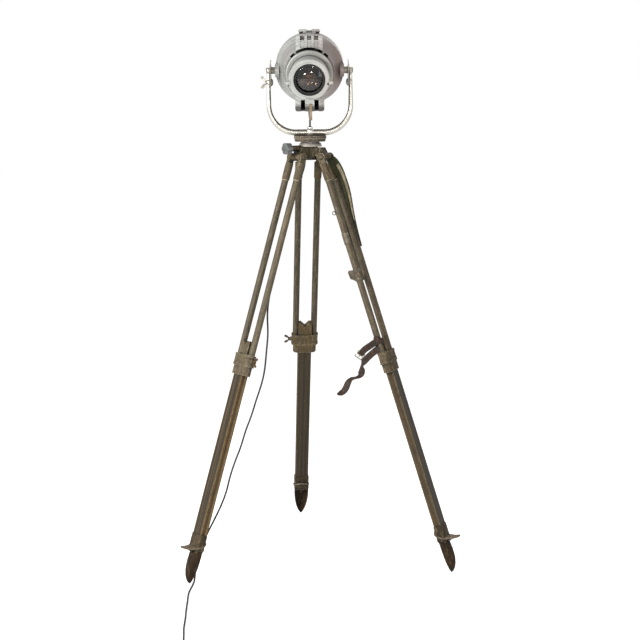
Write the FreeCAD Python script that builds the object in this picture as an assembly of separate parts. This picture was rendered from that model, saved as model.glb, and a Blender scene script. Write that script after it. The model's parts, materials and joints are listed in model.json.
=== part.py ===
"""Tripod spotlight floor lamp: a cast theatre spotlight in a yoke on a folding
three-legged stand.  Millimetres, +Z up.

The origin is the floor point under the pan axis.  The lamp faces -Y.  Each leg
is drawn in its own frame (x outward, y along its hinge, z up the leg from the
hinge) and the lamp in its own frame (forward is -Y, the tilt axis is X), and
both are then set in place.
"""
import FreeCAD, Part
import math
import os

os.makedirs("parts", exist_ok=True)

Vector = FreeCAD.Vector
X_AXIS = Vector(1, 0, 0)
Y_AXIS = Vector(0, 1, 0)
Z_AXIS = Vector(0, 0, 1)

# ---------------------------------------------------------------- clearances
FIT = 0.05                 # radial running clearance of pins and slides
GAP = 0.3                  # between faces of pieces that move past each other

# ------------------------------------------------------------ stand, overall
LEG_NAMES = ("left", "back", "right")
LEG_LENGTH = 1447.0        # hinge to the point, down the leg
LEG_SPREAD = 18.4          # degrees from upright, at the stop
STAND_YAW = 6.0            # degrees, turn of the whole stand seen from above
LEG_AZIMUTHS = {"left": 210.0 + STAND_YAW, "back": 90.0 + STAND_YAW, "right": -30.0 + STAND_YAW}
HINGE_RADIUS = 55.0        # hinge pins from the pan axis
TIP_INSET = 10.0           # the shoe's point lies this far inside the leg's axis

SPREAD = math.radians(LEG_SPREAD)
HINGE_HEIGHT = LEG_LENGTH * math.cos(SPREAD) + TIP_INSET * math.sin(SPREAD)

# ------------------------------------------------------------------ leg tubes
TUBE_SPACING = 65.0
TUBE_DIAMETER = 22.0
TUBE_WALL = 2.0
SOCKET_DIAMETER = 26.0
SOCKET_TOP = 22.0          # distances down the leg from the hinge pin
SOCKET_BOTTOM = 75.0
TUBE_TOP = 34.0
EYE_DIAMETER = 27.0
EYE_WIDTH = 13.0
PIN_DIAMETER = 10.0
PIN_HEAD_DIAMETER = 15.0
PIN_HEAD_LENGTH = 5.0

# ---------------------------------------------------------- clamp and lower bar
CLAMP_TOP = 674.0
BAND_LENGTH = 40.0
COLLAR_LENGTH = 30.0
BAND_HALF_WIDTH = 47.0
COLLAR_HALF_WIDTH = 41.5
CLAMP_HALF_DEPTH = 17.0
BAR_WIDTH = 48.0
BAR_THICKNESS = 24.0
BAR_WALL = 2.5
BAR_GROOVE_GAP = 0.35      # bar to tube, and bar to clamp
GUIDE_LENGTH = 44.0
GUIDE_THICKNESS = 30.0
GUIDE_NOTCH = 14.0
BAR_IN_GUIDE = 27.0
SCREW_DIAMETER = 8.0
SCREW_BOSS_DIAMETER = 16.0
SCREW_BOSS_LENGTH = 5.0
WING_HUB_DIAMETER = 13.0
WING_HUB_LENGTH = 8.0
WING_SPAN = 33.0
WING_REACH = 14.0
WING_THICKNESS = 3.5

# ----------------------------------------------------------------------- shoe
SHOE_LENGTH = 166.0
FERRULE_LENGTH = 62.0
FERRULE_WALL = 3.0
SPOON_DEPTH = 24.0
SPOON_WALL = 5.0
TREAD_REACH = 46.0
TREAD_WIDTH = 40.0
TREAD_THICKNESS = 5.0
TREAD_ABOVE_TIP = 132.0
TREAD_WEB_DEPTH = 36.0
TREAD_BITE = 4.0           # into the ferrule

# ----------------------------------------------------------------- stand head
CROWN_BOSS_DIAMETER = 50.0
CROWN_BOSS_BELOW = 4.0     # under the hinge pins
CROWN_BOSS_ABOVE = 34.0    # over the hinge pins
CROWN_RIM_HEIGHT = 5.0
CROWN_RIM_OUT = 1.5
BARREL_DIAMETER = 26.0
ARM_BOTTOM = 2.0           # arms, over the hinge pins
ARM_TOP = 31.0
ARM_OUTER_TOP = 14.0       # over the hinge pins, at the hinge
ARM_SHOULDER_INSET = 9.0   # the full height ends this far inside the hinge
ARM_HALF_WIDTH = 20.0
COLLAR_BOTTOM_DIAMETER = 80.0
COLLAR_TOP_DIAMETER = 70.0
COLLAR_HEIGHT = 12.0
NECK_DIAMETER = 62.0
NECK_HEIGHT = 4.0
DISC_DIAMETER = 108.0
DISC_HEIGHT = 19.0
DISC_GROOVE_HEIGHT = 1.6
DISC_GROOVE_DEPTH = 1.6
SPIGOT_DIAMETER = 24.0
SPIGOT_DEPTH = 38.0        # under the disc
STUD_DIAMETER = 14.0
KNOB_DIAMETER = 38.0
KNOB_LENGTH = 20.0
KNOB_LOBES = 6
KNOB_RADIUS_FROM_AXIS = 83.0
KNOB_ABOVE_HINGE = 28.5
SPINDLE_DIAMETER = 8.0
SPINDLE_BOSS_DIAMETER = 20.0
SPINDLE_BOSS_GAP = 3.0     # to the knob's hub
KNOB_HUB_LENGTH = 4.0

# ----------------------------------------------------------------------- yoke
TRUNNION_DROP = 215.0      # tilt axis over the top of the disc
YOKE_SIDE_ROOM = 22.5      # from the lamp's drum to an arm's centre line
YOKE_CORNER = 90.0         # radius of the centre line
YOKE_TIP_DIAMETER = 10.4
YOKE_ELBOW_DIAMETER = 15.5
YOKE_HEEL_DIAMETER = 21.5  # where a corner meets the straight foot
YOKE_BOTTOM_DIAMETER = 22.0
YOKE_BOSS_DIAMETER = 28.0
YOKE_BOSS_HEIGHT = 23.5
YOKE_EYE_DIAMETER = 20.0
YOKE_EYE_LENGTH = 10.0
YOKE_ROOM_ABOVE = 60.0     # cutters reach this far past what they clear
KNUCKLE_DIAMETER = 22.0
KNUCKLE_LENGTH = 9.0
KNUCKLE_DROP = 39.0        # lock bolts below the tilt axis
LOCK_BOLT_DIAMETER = 8.0
LOCK_HEAD_DIAMETER = 25.0
LOCK_HEAD_LENGTH = 6.0
YOKE_NUT_DIAMETER = 19.0
YOKE_NUT_HEIGHT = 9.0

# ----------------------------------------------------------------------- lamp
LAMP_TILT = 12.7           # degrees nose down as it stands
BODY_DIAMETER = 226.0
BODY_WALL = 3.5
BODY_FRONT = 60.0          # distances ahead of the tilt axis
BODY_SHOULDER = -12.0
BODY_REAR = -70.0
FACE_DIAMETER = 168.0      # flat front face inside the domed front
RIDGE_WIDTH = 87.0
RIDGE_PROUD = 9.0          # over the drum
RIDGE_FOOT = 70.0
RIDGE_FRONT = 56.0
RIDGE_REAR = 24.0
LOWER_RIDGE_WIDTH = 96.0
LOWER_RIDGE_PROUD = 12.5
LOWER_RIDGE_REAR = -48.0
RIDGE_CORNER = 8.0
RIDGE_WALL = 4.0
VENT_SPACING = 22.5
VENT_WIDTH = 14.5
VENT_NOTCH_DROP = 14.0     # below the ridge's top
VENT_BAR_DROP = 18.0
VENT_FOOT_DROP = 38.0
VENT_POCKET_DEPTH = 2.5
VENT_NOTCH_LENGTH = 13.0   # back along the ridge's roof
FACE_SLOT_INNER = 152.0    # diameters of the slot over the gate
FACE_SLOT_OUTER = 170.0
FACE_SLOT_HALF_ANGLE = 48.0
FACE_SLOT_BRIDGE_AT = 34.0
FACE_SLOT_BRIDGE = 4.0     # degrees
PAD_DIAMETER = 44.0
PAD_PROUD = 1.0
PAD_DEPTH = 14.0
SPACER_DIAMETER = 23.0
QUADRANT_THICKNESS = 3.0
QUADRANT_RADIUS = 54.0
QUADRANT_TOP = 26.0
QUADRANT_HALF_WIDTH = 50.0
SLOT_CLEARANCE = 1.0
TILT_UP = 60.0             # tilt from the standing pose, degrees
TILT_DOWN = 45.0
TRUNNION_DIAMETER = 10.0
TRUNNION_HEAD_DIAMETER = 19.0
TRUNNION_HEAD_LENGTH = 3.0

# --------------------------------------------------------------- lens and gate
GATE_NECK_DIAMETER = 132.0
GATE_NECK_LENGTH = 6.0
GATE_FLANGE_DIAMETER = 156.0
GATE_FLANGE_LENGTH = 12.0
GATE_BORE = 108.0
GATE_PLATE_THICKNESS = 2.0
GATE_APERTURE = 44.0
SLEEVE_DIAMETER = 125.0
SLEEVE_WALL = 3.2
SLEEVE_FRONT = 131.0
SLEEVE_IN_FLANGE = 10.0
LENS_FRONT = 162.0
LENS_RIM_DIAMETER = 134.0
LENS_RIM_LENGTH = 10.0
LENS_BORE = 103.0
LENS_TUBE_WALL = 3.0
LENS_TUBE_REAR = 92.0
LENS_DIAMETER = 102.0
LENS_CLEAR_DIAMETER = 87.0
LENS_SHOULDER_DIAMETER = 95.0
LENS_EDGE = 4.0
LENS_CROWN = 9.0
LENS_RING_LENGTH = 3.0
LENS_RING_WALL = 1.5
LENS_RING_SET_BACK = 1.0
FOCUS_TRAVEL = 18.0        # each way
FOCUS_SCREW_AT = 106.0
FOCUS_SCREW_DIAMETER = 6.0
FOCUS_SLOT_WIDTH = 7.0
FOCUS_KNOB_DIAMETER = 15.0
FOCUS_KNOB_LENGTH = 12.0
RUNNER_WIDTH = 28.0
RUNNER_REACH = 8.0
RUNNER_THICKNESS = 3.0
SIDE_RUNNER_WIDTH = 9.0

# --------------------------------------------------------------- rear and lamp
COVER_WALL = 3.0
COVER_DEPTH = 56.0
COVER_HINGE_PROUD = 4.0      # over the drum
COVER_PIN_DIAMETER = 6.0
COVER_LUG_DIAMETER = 12.0
COVER_LUG_WIDTH = 12.4
COVER_LUG_INNER = 8.6
COVER_SCREW_DIAMETER = 5.0
COVER_SCREW_HEAD_DIAMETER = 14.0
COVER_SCREW_HEAD_LENGTH = 7.0
COVER_SCREW_REACH = 28.0     # from the cover's rim to under the head
TRAY_DROP = 83.0           # tray's top below the lens axis
TRAY_THICKNESS = 2.0
TRAY_FRONT = -14.0
TRAY_REAR = -62.0
HOLDER_DIAMETER = 36.0
HOLDER_HEIGHT = 30.0
BULB_AT = -36.0
BULB_BASE_DIAMETER = 22.0
BULB_BASE_DEPTH = 20.0       # in the holder
BULB_DIAMETER = 32.0
BULB_TOP = 26.0
REFLECTOR_RADIUS = 46.0
REFLECTOR_HALF_WIDTH = 38.0
REFLECTOR_WALL = 1.2

# ----------------------------------------------------------------------- lead
CORD_DIAMETER = 6.0
GLAND_AT = 38.0            # ahead of the tilt axis, under the lower ridge
GLAND_LENGTH = 24.0
GLAND_DIAMETER = 11.0
CLIP_LEFT = -1.5
CLIP_WIDTH = 9.0
CLIP_THICKNESS = 2.0
CLIP_ON_RIDGE = 26.0       # up the lower ridge's front
CLIP_BELOW_RIDGE = 30.0
LEAD_IN_BOLT = 8.0
COIL_X = -335.0
COIL_Y = -880.0
COIL_OUTER_RADIUS = 42.0
COIL_PITCH = 7.7
COIL_LAYER = 6.6
COIL_HALF_TURNS_IN = 4
COIL_HALF_TURNS_OUT = 5
PLUG_WIDTH = 34.0
PLUG_LENGTH = 36.0
PLUG_RELIEF_LENGTH = 30.0
PLUG_PIN_DIAMETER = 4.8
PLUG_PIN_LENGTH = 19.0
PLUG_PIN_SPACING = 19.0

# ------------------------------------------------------- strap, sling, fittings
STRAP_WIDTH = 20.0
STRAP_THICKNESS = 3.0
STRAP_DOWN = 640.0         # its loop on the tube, down the right leg
BUCKLE_WIRE = 2.5
BUCKLE_HEIGHT = 22.0
BUCKLE_SIDE_GAP = 1.0
BUCKLE_FACE_GAP = 5.5
SLING_WIDTH = 34.0
SLING_THICKNESS = 3.5
SLING_CENTRE = 14.0        # along the hinge, from the leg's middle
FITTING_BAND_DOWN = 281.0
FITTING_BAND_LENGTH = 38.0
FITTING_BAND_WALL = 1.6
EYELET_DOWN = 189.0
EYELET_RADIUS = 6.0
EYELET_WIRE = 2.6

# places that everything on the lamp's drum is set from
PAD_FACE = BODY_DIAMETER / 2 + PAD_PROUD
YOKE_SPAN = BODY_DIAMETER + 2 * YOKE_SIDE_ROOM
RIDGE_RADIUS = BODY_DIAMETER / 2 + RIDGE_PROUD
LOWER_RIDGE_RADIUS = BODY_DIAMETER / 2 + LOWER_RIDGE_PROUD
COVER_HINGE_RADIUS = BODY_DIAMETER / 2 + COVER_HINGE_PROUD

# heights that everything on the stand's head is set from
BOSS_BOTTOM = HINGE_HEIGHT - CROWN_BOSS_BELOW
BOSS_TOP = HINGE_HEIGHT + CROWN_BOSS_ABOVE
NECK_BOTTOM = BOSS_TOP + COLLAR_HEIGHT
DISC_BOTTOM = NECK_BOTTOM + NECK_HEIGHT + GAP
DISC_TOP = DISC_BOTTOM + DISC_HEIGHT
TILT_HEIGHT = DISC_TOP + TRUNNION_DROP
CLAMP_BAND_BOTTOM = CLAMP_TOP + BAND_LENGTH
CLAMP_BOTTOM = CLAMP_BAND_BOTTOM + COLLAR_LENGTH
SHOE_TOP = LEG_LENGTH - SHOE_LENGTH
HALF_SPACING = TUBE_SPACING / 2
TUBE_RADIUS = TUBE_DIAMETER / 2
CORD_RADIUS = CORD_DIAMETER / 2


# ================================================================== helpers
def box(x0, x1, y0, y1, z0, z1):
    return Part.makeBox(x1 - x0, y1 - y0, z1 - z0, Vector(x0, y0, z0))


def cylinder(diameter, start, end):
    axis = end - start
    return Part.makeCylinder(diameter / 2, axis.Length, start, axis)


def tube(outer, inner, start, end):
    return cylinder(outer, start, end).cut(cylinder(inner, start, end))


def turned(profile, start, axis):
    """Solid of revolution of (radius, distance) points about an axis from start."""
    points = [Vector(radius, 0, distance) for radius, distance in profile]
    face = Part.Face(Part.makePolygon(points + [points[0]]))
    solid = face.revolve(Vector(0, 0, 0), Z_AXIS, 360)
    solid.Placement = FreeCAD.Placement(start, FreeCAD.Rotation(Z_AXIS, axis))
    return solid


def fused(*solids):
    return solids[0].fuse(list(solids[1:])).removeSplitter()


def group(*solids):
    return Part.makeCompound(list(solids))


def mirrored(solid):
    return solid.mirror(Vector(0, 0, 0), X_AXIS)


def save(name, shape):
    for solid in shape.Solids:
        if not solid.isValid():
            print("not valid:", name)
    shape.exportStep("parts/" + name + ".step")


def on_leg(name, shape):
    """Set a piece drawn in the leg's frame on the named leg."""
    placed = shape.copy()
    placed.rotate(Vector(0, 0, 0), Y_AXIS, -LEG_SPREAD)
    placed.translate(Vector(HINGE_RADIUS, 0, HINGE_HEIGHT))
    placed.rotate(Vector(0, 0, 0), Z_AXIS, LEG_AZIMUTHS[name])
    return placed


def around_head(name, shape):
    """Turn a piece of the stand's head, drawn along +X, to the named leg."""
    placed = shape.copy()
    placed.rotate(Vector(0, 0, 0), Z_AXIS, LEG_AZIMUTHS[name])
    return placed


def on_lamp(shape):
    """Tilt a piece drawn in the lamp's frame and lift it to the tilt axis."""
    placed = shape.copy()
    placed.rotate(Vector(0, 0, 0), X_AXIS, LAMP_TILT)
    placed.translate(Vector(0, 0, TILT_HEIGHT))
    return placed


def ahead(distance, x=0.0, height=0.0):
    """A point of the lamp's frame, given as a distance ahead of the tilt axis."""
    return Vector(x, -distance, height)


def lamp_turned(profile):
    """Revolve (radius, distance ahead) points about the lens axis."""
    return turned(profile, ahead(0), -Y_AXIS)


def arc_through(start, tangent, end):
    """Arc from start, leaving along tangent, that ends at end."""
    chord = end - start
    sagitta_side = tangent - chord * (tangent.dot(chord) / chord.dot(chord))
    if sagitta_side.Length < 1e-9:
        return Part.LineSegment(start, end).toShape()
    sagitta_side.normalize()
    half_angle = tangent.getAngle(chord)
    sagitta = chord.Length / 2 * math.tan(half_angle / 2)
    middle = (start + end) * 0.5 + sagitta_side * sagitta
    return Part.Arc(start, middle, end).toShape()


def rounded_path(name, points):
    """Straight runs joined by tangent arcs, each as large as its runs allow."""
    edges = []
    radii = []
    cursor = points[0]
    for before, corner, after in zip(points, points[1:], points[2:]):
        run_in = corner - before
        run_out = after - corner
        turn = run_in.getAngle(run_out)
        cut_back = 0.45 * min(run_in.Length, run_out.Length)
        radii.append(cut_back / math.tan(turn / 2))
        direction_in = Vector(run_in).normalize()
        direction_out = Vector(run_out).normalize()
        arc_start = corner - direction_in * cut_back
        arc_end = corner + direction_out * cut_back
        edges.append(Part.LineSegment(cursor, arc_start).toShape())
        edges.append(arc_through(arc_start, direction_in, arc_end))
        cursor = arc_end
    edges.append(Part.LineSegment(cursor, points[-1]).toShape())
    print(name, "smallest bend radius", round(min(radii), 1), "mm, largest", round(max(radii), 1))
    return Part.Wire(edges)


def swept_round(name, path, diameter):
    """Round tube along a path; prints its volume against section times length."""
    first = path.Edges[0]
    start = first.valueAt(first.FirstParameter)
    circle = Part.Circle(start, first.tangentAt(first.FirstParameter), diameter / 2)
    solid = path.makePipeShell([Part.Wire(circle.toShape())], True, False)
    expected = math.pi * diameter ** 2 / 4 * path.Length
    print(name, "length", round(path.Length), "mm, volume ratio", round(solid.Volume / expected, 4))
    return solid


def ribbon(path, width, thickness, flat_across):
    """Flat band along a path, its width along flat_across."""
    first = path.Edges[0]
    start = first.valueAt(first.FirstParameter)
    along = first.tangentAt(first.FirstParameter)
    across = flat_across * (width / 2)
    through = along.cross(flat_across).normalize() * (thickness / 2)
    corners = [start + across + through, start - across + through]
    corners += [start - across - through, start + across - through]
    section = Part.makePolygon(corners + [corners[0]])
    shell = Part.BRepOffsetAPI.MakePipeShell(path)
    shell.setBiNormalMode(flat_across)
    shell.add(section)
    shell.build()
    shell.makeSolid()
    return shell.shape()


def wing_nut_wings(hub_start, reach, span, thickness):
    """Two flared wings of a wing nut whose axis is +Y, from hub_start outwards."""
    root = WING_HUB_DIAMETER / 2 - 1.5
    outline = [
        Vector(root, hub_start, 0),
        Vector(span / 2 - 4, hub_start + 0.45 * reach, 0),
        Vector(span / 2, hub_start + reach, 0),
        Vector(span / 2 - 5, hub_start + 1.35 * reach, 0),
        Vector(root, hub_start + 0.75 * reach, 0),
    ]
    face = Part.Face(Part.makePolygon(outline + [outline[0]]))
    wing = face.extrude(Z_AXIS * thickness)
    wing.translate(Z_AXIS * (-thickness / 2))
    other = wing.copy()
    other.rotate(Vector(0, 0, 0), Y_AXIS, 180)
    return wing, other


# ============================================================== stand's head
def crown():
    """Boss, rim and three hinge arms in one casting."""
    boss = cylinder(CROWN_BOSS_DIAMETER, Z_AXIS * BOSS_BOTTOM, Z_AXIS * BOSS_TOP)
    rim_diameter = CROWN_BOSS_DIAMETER + 2 * CROWN_RIM_OUT
    rim = cylinder(rim_diameter, Z_AXIS * BOSS_BOTTOM, Z_AXIS * (BOSS_BOTTOM + CROWN_RIM_HEIGHT))
    body = boss.fuse(rim)
    barrel_half = HALF_SPACING - EYE_WIDTH / 2 - GAP
    for name in LEG_NAMES:
        hinge = Vector(HINGE_RADIUS, 0, HINGE_HEIGHT)
        barrel = cylinder(BARREL_DIAMETER, hinge - Y_AXIS * barrel_half, hinge + Y_AXIS * barrel_half)
        body = body.fuse(around_head(name, barrel.fuse(crown_arm())))
    body = body.fuse(around_head("left", spindle_boss()))
    spigot_bottom = DISC_BOTTOM - SPIGOT_DEPTH
    body = body.cut(cylinder(SPIGOT_DIAMETER + 2 * FIT, Z_AXIS * spigot_bottom, Z_AXIS * (BOSS_TOP + 1)))
    for name in LEG_NAMES:
        body = body.cut(around_head(name, hinge_pin()))
    body = body.cut(around_head("left", spindle(FIT)))
    body = body.cut(lead_entry())
    return body.removeSplitter()


def crown_arm():
    """Arm from the boss to a hinge: full height at the boss, sloping down outside."""
    floor = HINGE_HEIGHT + ARM_BOTTOM
    roof = HINGE_HEIGHT + ARM_TOP
    outline = [
        Vector(0, -ARM_HALF_WIDTH, floor),
        Vector(HINGE_RADIUS, -ARM_HALF_WIDTH, floor),
        Vector(HINGE_RADIUS, -ARM_HALF_WIDTH, HINGE_HEIGHT + ARM_OUTER_TOP),
        Vector(HINGE_RADIUS - ARM_SHOULDER_INSET, -ARM_HALF_WIDTH, roof),
        Vector(0, -ARM_HALF_WIDTH, roof),
    ]
    face = Part.Face(Part.makePolygon(outline + [outline[0]]))
    return face.extrude(Y_AXIS * (2 * ARM_HALF_WIDTH))


def spindle_boss():
    """Round boss that carries the locking screw out to the knob."""
    end = KNOB_RADIUS_FROM_AXIS - KNOB_HUB_LENGTH - SPINDLE_BOSS_GAP
    boss = cylinder(SPINDLE_BOSS_DIAMETER, Z_AXIS * spindle_height(), Vector(end, 0, spindle_height()))
    collar_room = cylinder(COLLAR_BOTTOM_DIAMETER + 2 * GAP, Z_AXIS * BOSS_TOP, Z_AXIS * NECK_BOTTOM)
    return boss.cut(collar_room)


def hinge_pin():
    """Bolt with a domed head each end, across the whole hinge."""
    hinge = Vector(HINGE_RADIUS, 0, HINGE_HEIGHT)
    half = HALF_SPACING + EYE_WIDTH / 2 + GAP
    shank = cylinder(PIN_DIAMETER, hinge - Y_AXIS * half, hinge + Y_AXIS * half)
    radius = PIN_HEAD_DIAMETER / 2
    head = [(0, 0), (radius, 0), (radius, 0.55 * PIN_HEAD_LENGTH), (0.6 * radius, PIN_HEAD_LENGTH)]
    head.append((0, PIN_HEAD_LENGTH))
    near = turned(head, hinge + Y_AXIS * half, Y_AXIS)
    far = turned(head, hinge - Y_AXIS * half, -Y_AXIS)
    return fused(shank, near, far)


def collar():
    """Conical ring on the crown, with the neck that the disc turns on."""
    low = COLLAR_BOTTOM_DIAMETER / 2
    high = COLLAR_TOP_DIAMETER / 2
    neck = NECK_DIAMETER / 2
    bore = SPIGOT_DIAMETER / 2 + FIT
    top = COLLAR_HEIGHT + NECK_HEIGHT
    profile = [(bore, 0), (low, 0), (high, COLLAR_HEIGHT), (neck, COLLAR_HEIGHT), (neck, top), (bore, top)]
    return turned(profile, Z_AXIS * BOSS_TOP, Z_AXIS)


def spindle_height():
    return HINGE_HEIGHT + KNOB_ABOVE_HINGE


def spindle(clearance=0.0):
    """Locking screw from the knob to the spigot."""
    tip = Vector(SPIGOT_DIAMETER / 2 + 0.5, 0, spindle_height())
    end = Vector(KNOB_RADIUS_FROM_AXIS + 0.6 * KNOB_LENGTH, 0, spindle_height())
    return cylinder(SPINDLE_DIAMETER + 2 * clearance, tip, end)


def star_knob():
    start = Vector(KNOB_RADIUS_FROM_AXIS, 0, spindle_height())
    end = start + X_AXIS * KNOB_LENGTH
    knob = cylinder(KNOB_DIAMETER, start, end)
    lobe_gap = KNOB_DIAMETER * 0.28
    for index in range(KNOB_LOBES):
        angle = 2 * math.pi * (index + 0.5) / KNOB_LOBES
        reach = KNOB_DIAMETER * 0.57
        offset = Vector(0, math.cos(angle) * reach, math.sin(angle) * reach)
        knob = knob.cut(cylinder(lobe_gap, start + offset - X_AXIS, end + offset + X_AXIS))
    hub = cylinder(KNOB_DIAMETER * 0.45, start - X_AXIS * KNOB_HUB_LENGTH, start)
    return knob.fuse(hub).cut(spindle()).removeSplitter()


# =============================================================== pan assembly
def turntable_disc():
    radius = DISC_DIAMETER / 2
    groove_foot = 0.45 * DISC_HEIGHT
    groove_top = groove_foot + DISC_GROOVE_HEIGHT
    inner = radius - DISC_GROOVE_DEPTH
    bore = STUD_DIAMETER / 2
    profile = [
        (bore, 0),
        (radius - 4, 0),
        (radius - 1.2, groove_foot),
        (inner, groove_foot),
        (inner, groove_top),
        (radius, groove_top),
        (radius, DISC_HEIGHT - 1.5),
        (radius - 1.5, DISC_HEIGHT),
        (bore, DISC_HEIGHT),
    ]
    return turned(profile, Z_AXIS * DISC_BOTTOM, Z_AXIS)


def stud_top():
    return DISC_TOP + YOKE_BOSS_HEIGHT + 0.5 * YOKE_NUT_HEIGHT


def pan_spigot():
    """Hollow bolt: the spigot in the crown, and the stud through disc and yoke."""
    thick = cylinder(SPIGOT_DIAMETER, Z_AXIS * (DISC_BOTTOM - SPIGOT_DEPTH), Z_AXIS * DISC_BOTTOM)
    stud = cylinder(STUD_DIAMETER, Z_AXIS * DISC_BOTTOM, Z_AXIS * stud_top())
    bore_top = DISC_TOP + YOKE_BOSS_HEIGHT + YOKE_NUT_HEIGHT
    bore = cylinder(CORD_DIAMETER, Z_AXIS * (DISC_BOTTOM - SPIGOT_DEPTH), Z_AXIS * bore_top)
    return thick.fuse(stud).removeSplitter().cut(bore)


def yoke_nut():
    """Domed nut on the stud, with the hole that the lead goes down."""
    foot = DISC_TOP + YOKE_BOSS_HEIGHT
    radius = YOKE_NUT_DIAMETER / 2
    profile = [(0, 0), (radius, 0), (radius, 0.5 * YOKE_NUT_HEIGHT), (0.55 * radius, YOKE_NUT_HEIGHT)]
    profile.append((0, YOKE_NUT_HEIGHT))
    nut = turned(profile, Z_AXIS * foot, Z_AXIS)
    nut = nut.cut(cylinder(STUD_DIAMETER, Z_AXIS * foot, Z_AXIS * stud_top()))
    return nut.cut(cylinder(CORD_DIAMETER + 2, Z_AXIS * foot, Z_AXIS * (foot + YOKE_NUT_HEIGHT + 1)))


def spacer_length():
    return eye_inner_face() - GAP - QUADRANT_THICKNESS - PAD_FACE


def eye_inner_face():
    return (YOKE_SPAN - YOKE_TIP_DIAMETER) / 2


def yoke():
    """Tapered bar bent to a U, with an eye and a lock knuckle on each arm."""
    half = YOKE_SPAN / 2
    bottom_z = DISC_TOP + YOKE_BOTTOM_DIAMETER / 2
    corner_start = Vector(half, 0, bottom_z + YOKE_CORNER)
    corner_end = Vector(half - YOKE_CORNER, 0, bottom_z)
    slant = YOKE_CORNER * (1 - math.sqrt(0.5))
    corner_middle = Vector(half - slant, 0, bottom_z + slant)
    tip = Vector(half, 0, TILT_HEIGHT)
    centre = Vector(0, 0, bottom_z)

    arm_length = tip.z - corner_start.z
    arm_radii = (YOKE_TIP_DIAMETER / 2, YOKE_ELBOW_DIAMETER / 2)
    arm = Part.makeCone(arm_radii[0], arm_radii[1], arm_length, tip, -Z_AXIS)
    foot_radii = (YOKE_HEEL_DIAMETER / 2, YOKE_BOTTOM_DIAMETER / 2)
    foot = Part.makeCone(foot_radii[0], foot_radii[1], corner_end.x, corner_end, -X_AXIS)
    corner_path = Part.Wire([Part.Arc(corner_start, corner_middle, corner_end).toShape()])
    first = Part.Wire(Part.Circle(corner_start, Z_AXIS, YOKE_ELBOW_DIAMETER / 2).toShape())
    last = Part.Wire(Part.Circle(corner_end, X_AXIS, YOKE_HEEL_DIAMETER / 2).toShape())
    corner = corner_path.makePipeShell([first, last], True, False)

    knuckle_inner = eye_inner_face()
    trunnion = Vector(knuckle_inner, 0, TILT_HEIGHT)
    eye = cylinder(YOKE_EYE_DIAMETER, trunnion, trunnion + X_AXIS * YOKE_EYE_LENGTH)
    lock = Vector(knuckle_inner, 0, TILT_HEIGHT - KNUCKLE_DROP)
    knuckle = cylinder(KNUCKLE_DIAMETER, lock, lock + X_AXIS * KNUCKLE_LENGTH)
    side = arm.fuse([corner, foot, eye, knuckle])
    past = X_AXIS * YOKE_ROOM_ABOVE
    room = YOKE_ROOM_ABOVE / 2
    side = side.cut(cylinder(TRUNNION_DIAMETER + 2 * FIT, trunnion - past, trunnion + past))
    head_seat = trunnion + X_AXIS * YOKE_EYE_LENGTH
    side = side.cut(cylinder(TRUNNION_HEAD_DIAMETER + 4 * GAP, head_seat, head_seat + past))
    side = side.cut(cylinder(LOCK_BOLT_DIAMETER, lock, lock + past))
    nut_seat = lock + X_AXIS * KNUCKLE_LENGTH
    side = side.cut(cylinder(KNUCKLE_DIAMETER, nut_seat, nut_seat + past))
    inner_floor = TILT_HEIGHT - KNUCKLE_DROP - KNUCKLE_DIAMETER
    side = side.cut(box(0, knuckle_inner, -room, room, inner_floor, TILT_HEIGHT + room))
    eye_top = TILT_HEIGHT + YOKE_EYE_DIAMETER / 2
    side = side.cut(box(0, half + room, -room, room, eye_top, eye_top + YOKE_ROOM_ABOVE))

    boss = cylinder(YOKE_BOSS_DIAMETER, Z_AXIS * DISC_TOP, Z_AXIS * (DISC_TOP + YOKE_BOSS_HEIGHT))
    whole = side.fuse([mirrored(side), boss])
    stud_hole = cylinder(STUD_DIAMETER, Z_AXIS * (DISC_TOP - 1), Z_AXIS * (DISC_TOP + YOKE_ROOM_ABOVE))
    return whole.cut(stud_hole).removeSplitter()


def lock_bolt():
    """Domed head inside the quadrant, shank through its slot and the knuckle."""
    head_face = eye_inner_face() - 2 * GAP - QUADRANT_THICKNESS
    start = Vector(head_face, 0, TILT_HEIGHT - KNUCKLE_DROP)
    knuckle_end = eye_inner_face() + KNUCKLE_LENGTH
    shank_end = knuckle_end + WING_HUB_LENGTH
    shank = cylinder(LOCK_BOLT_DIAMETER, start, Vector(shank_end, 0, start.z))
    radius = LOCK_HEAD_DIAMETER / 2
    head = [(0, 0), (radius, 0), (0.9 * radius, 0.5 * LOCK_HEAD_LENGTH), (0.5 * radius, LOCK_HEAD_LENGTH)]
    head.append((0, LOCK_HEAD_LENGTH))
    return fused(shank, turned(head, start, -X_AXIS))


def plain_lock_bolt():
    """The bolt without a wing nut: it ends in a low dome on the knuckle."""
    knuckle_end = eye_inner_face() + KNUCKLE_LENGTH
    reach = LOCK_HEAD_DIAMETER
    bolt = lock_bolt().common(box(0, knuckle_end, -reach, reach, 0, TILT_HEIGHT))
    end = Vector(knuckle_end, 0, TILT_HEIGHT - KNUCKLE_DROP)
    return fused(bolt, turned([(0, 0), (7, 0), (6, 1.5), (0, 2)], end, X_AXIS))


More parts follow.
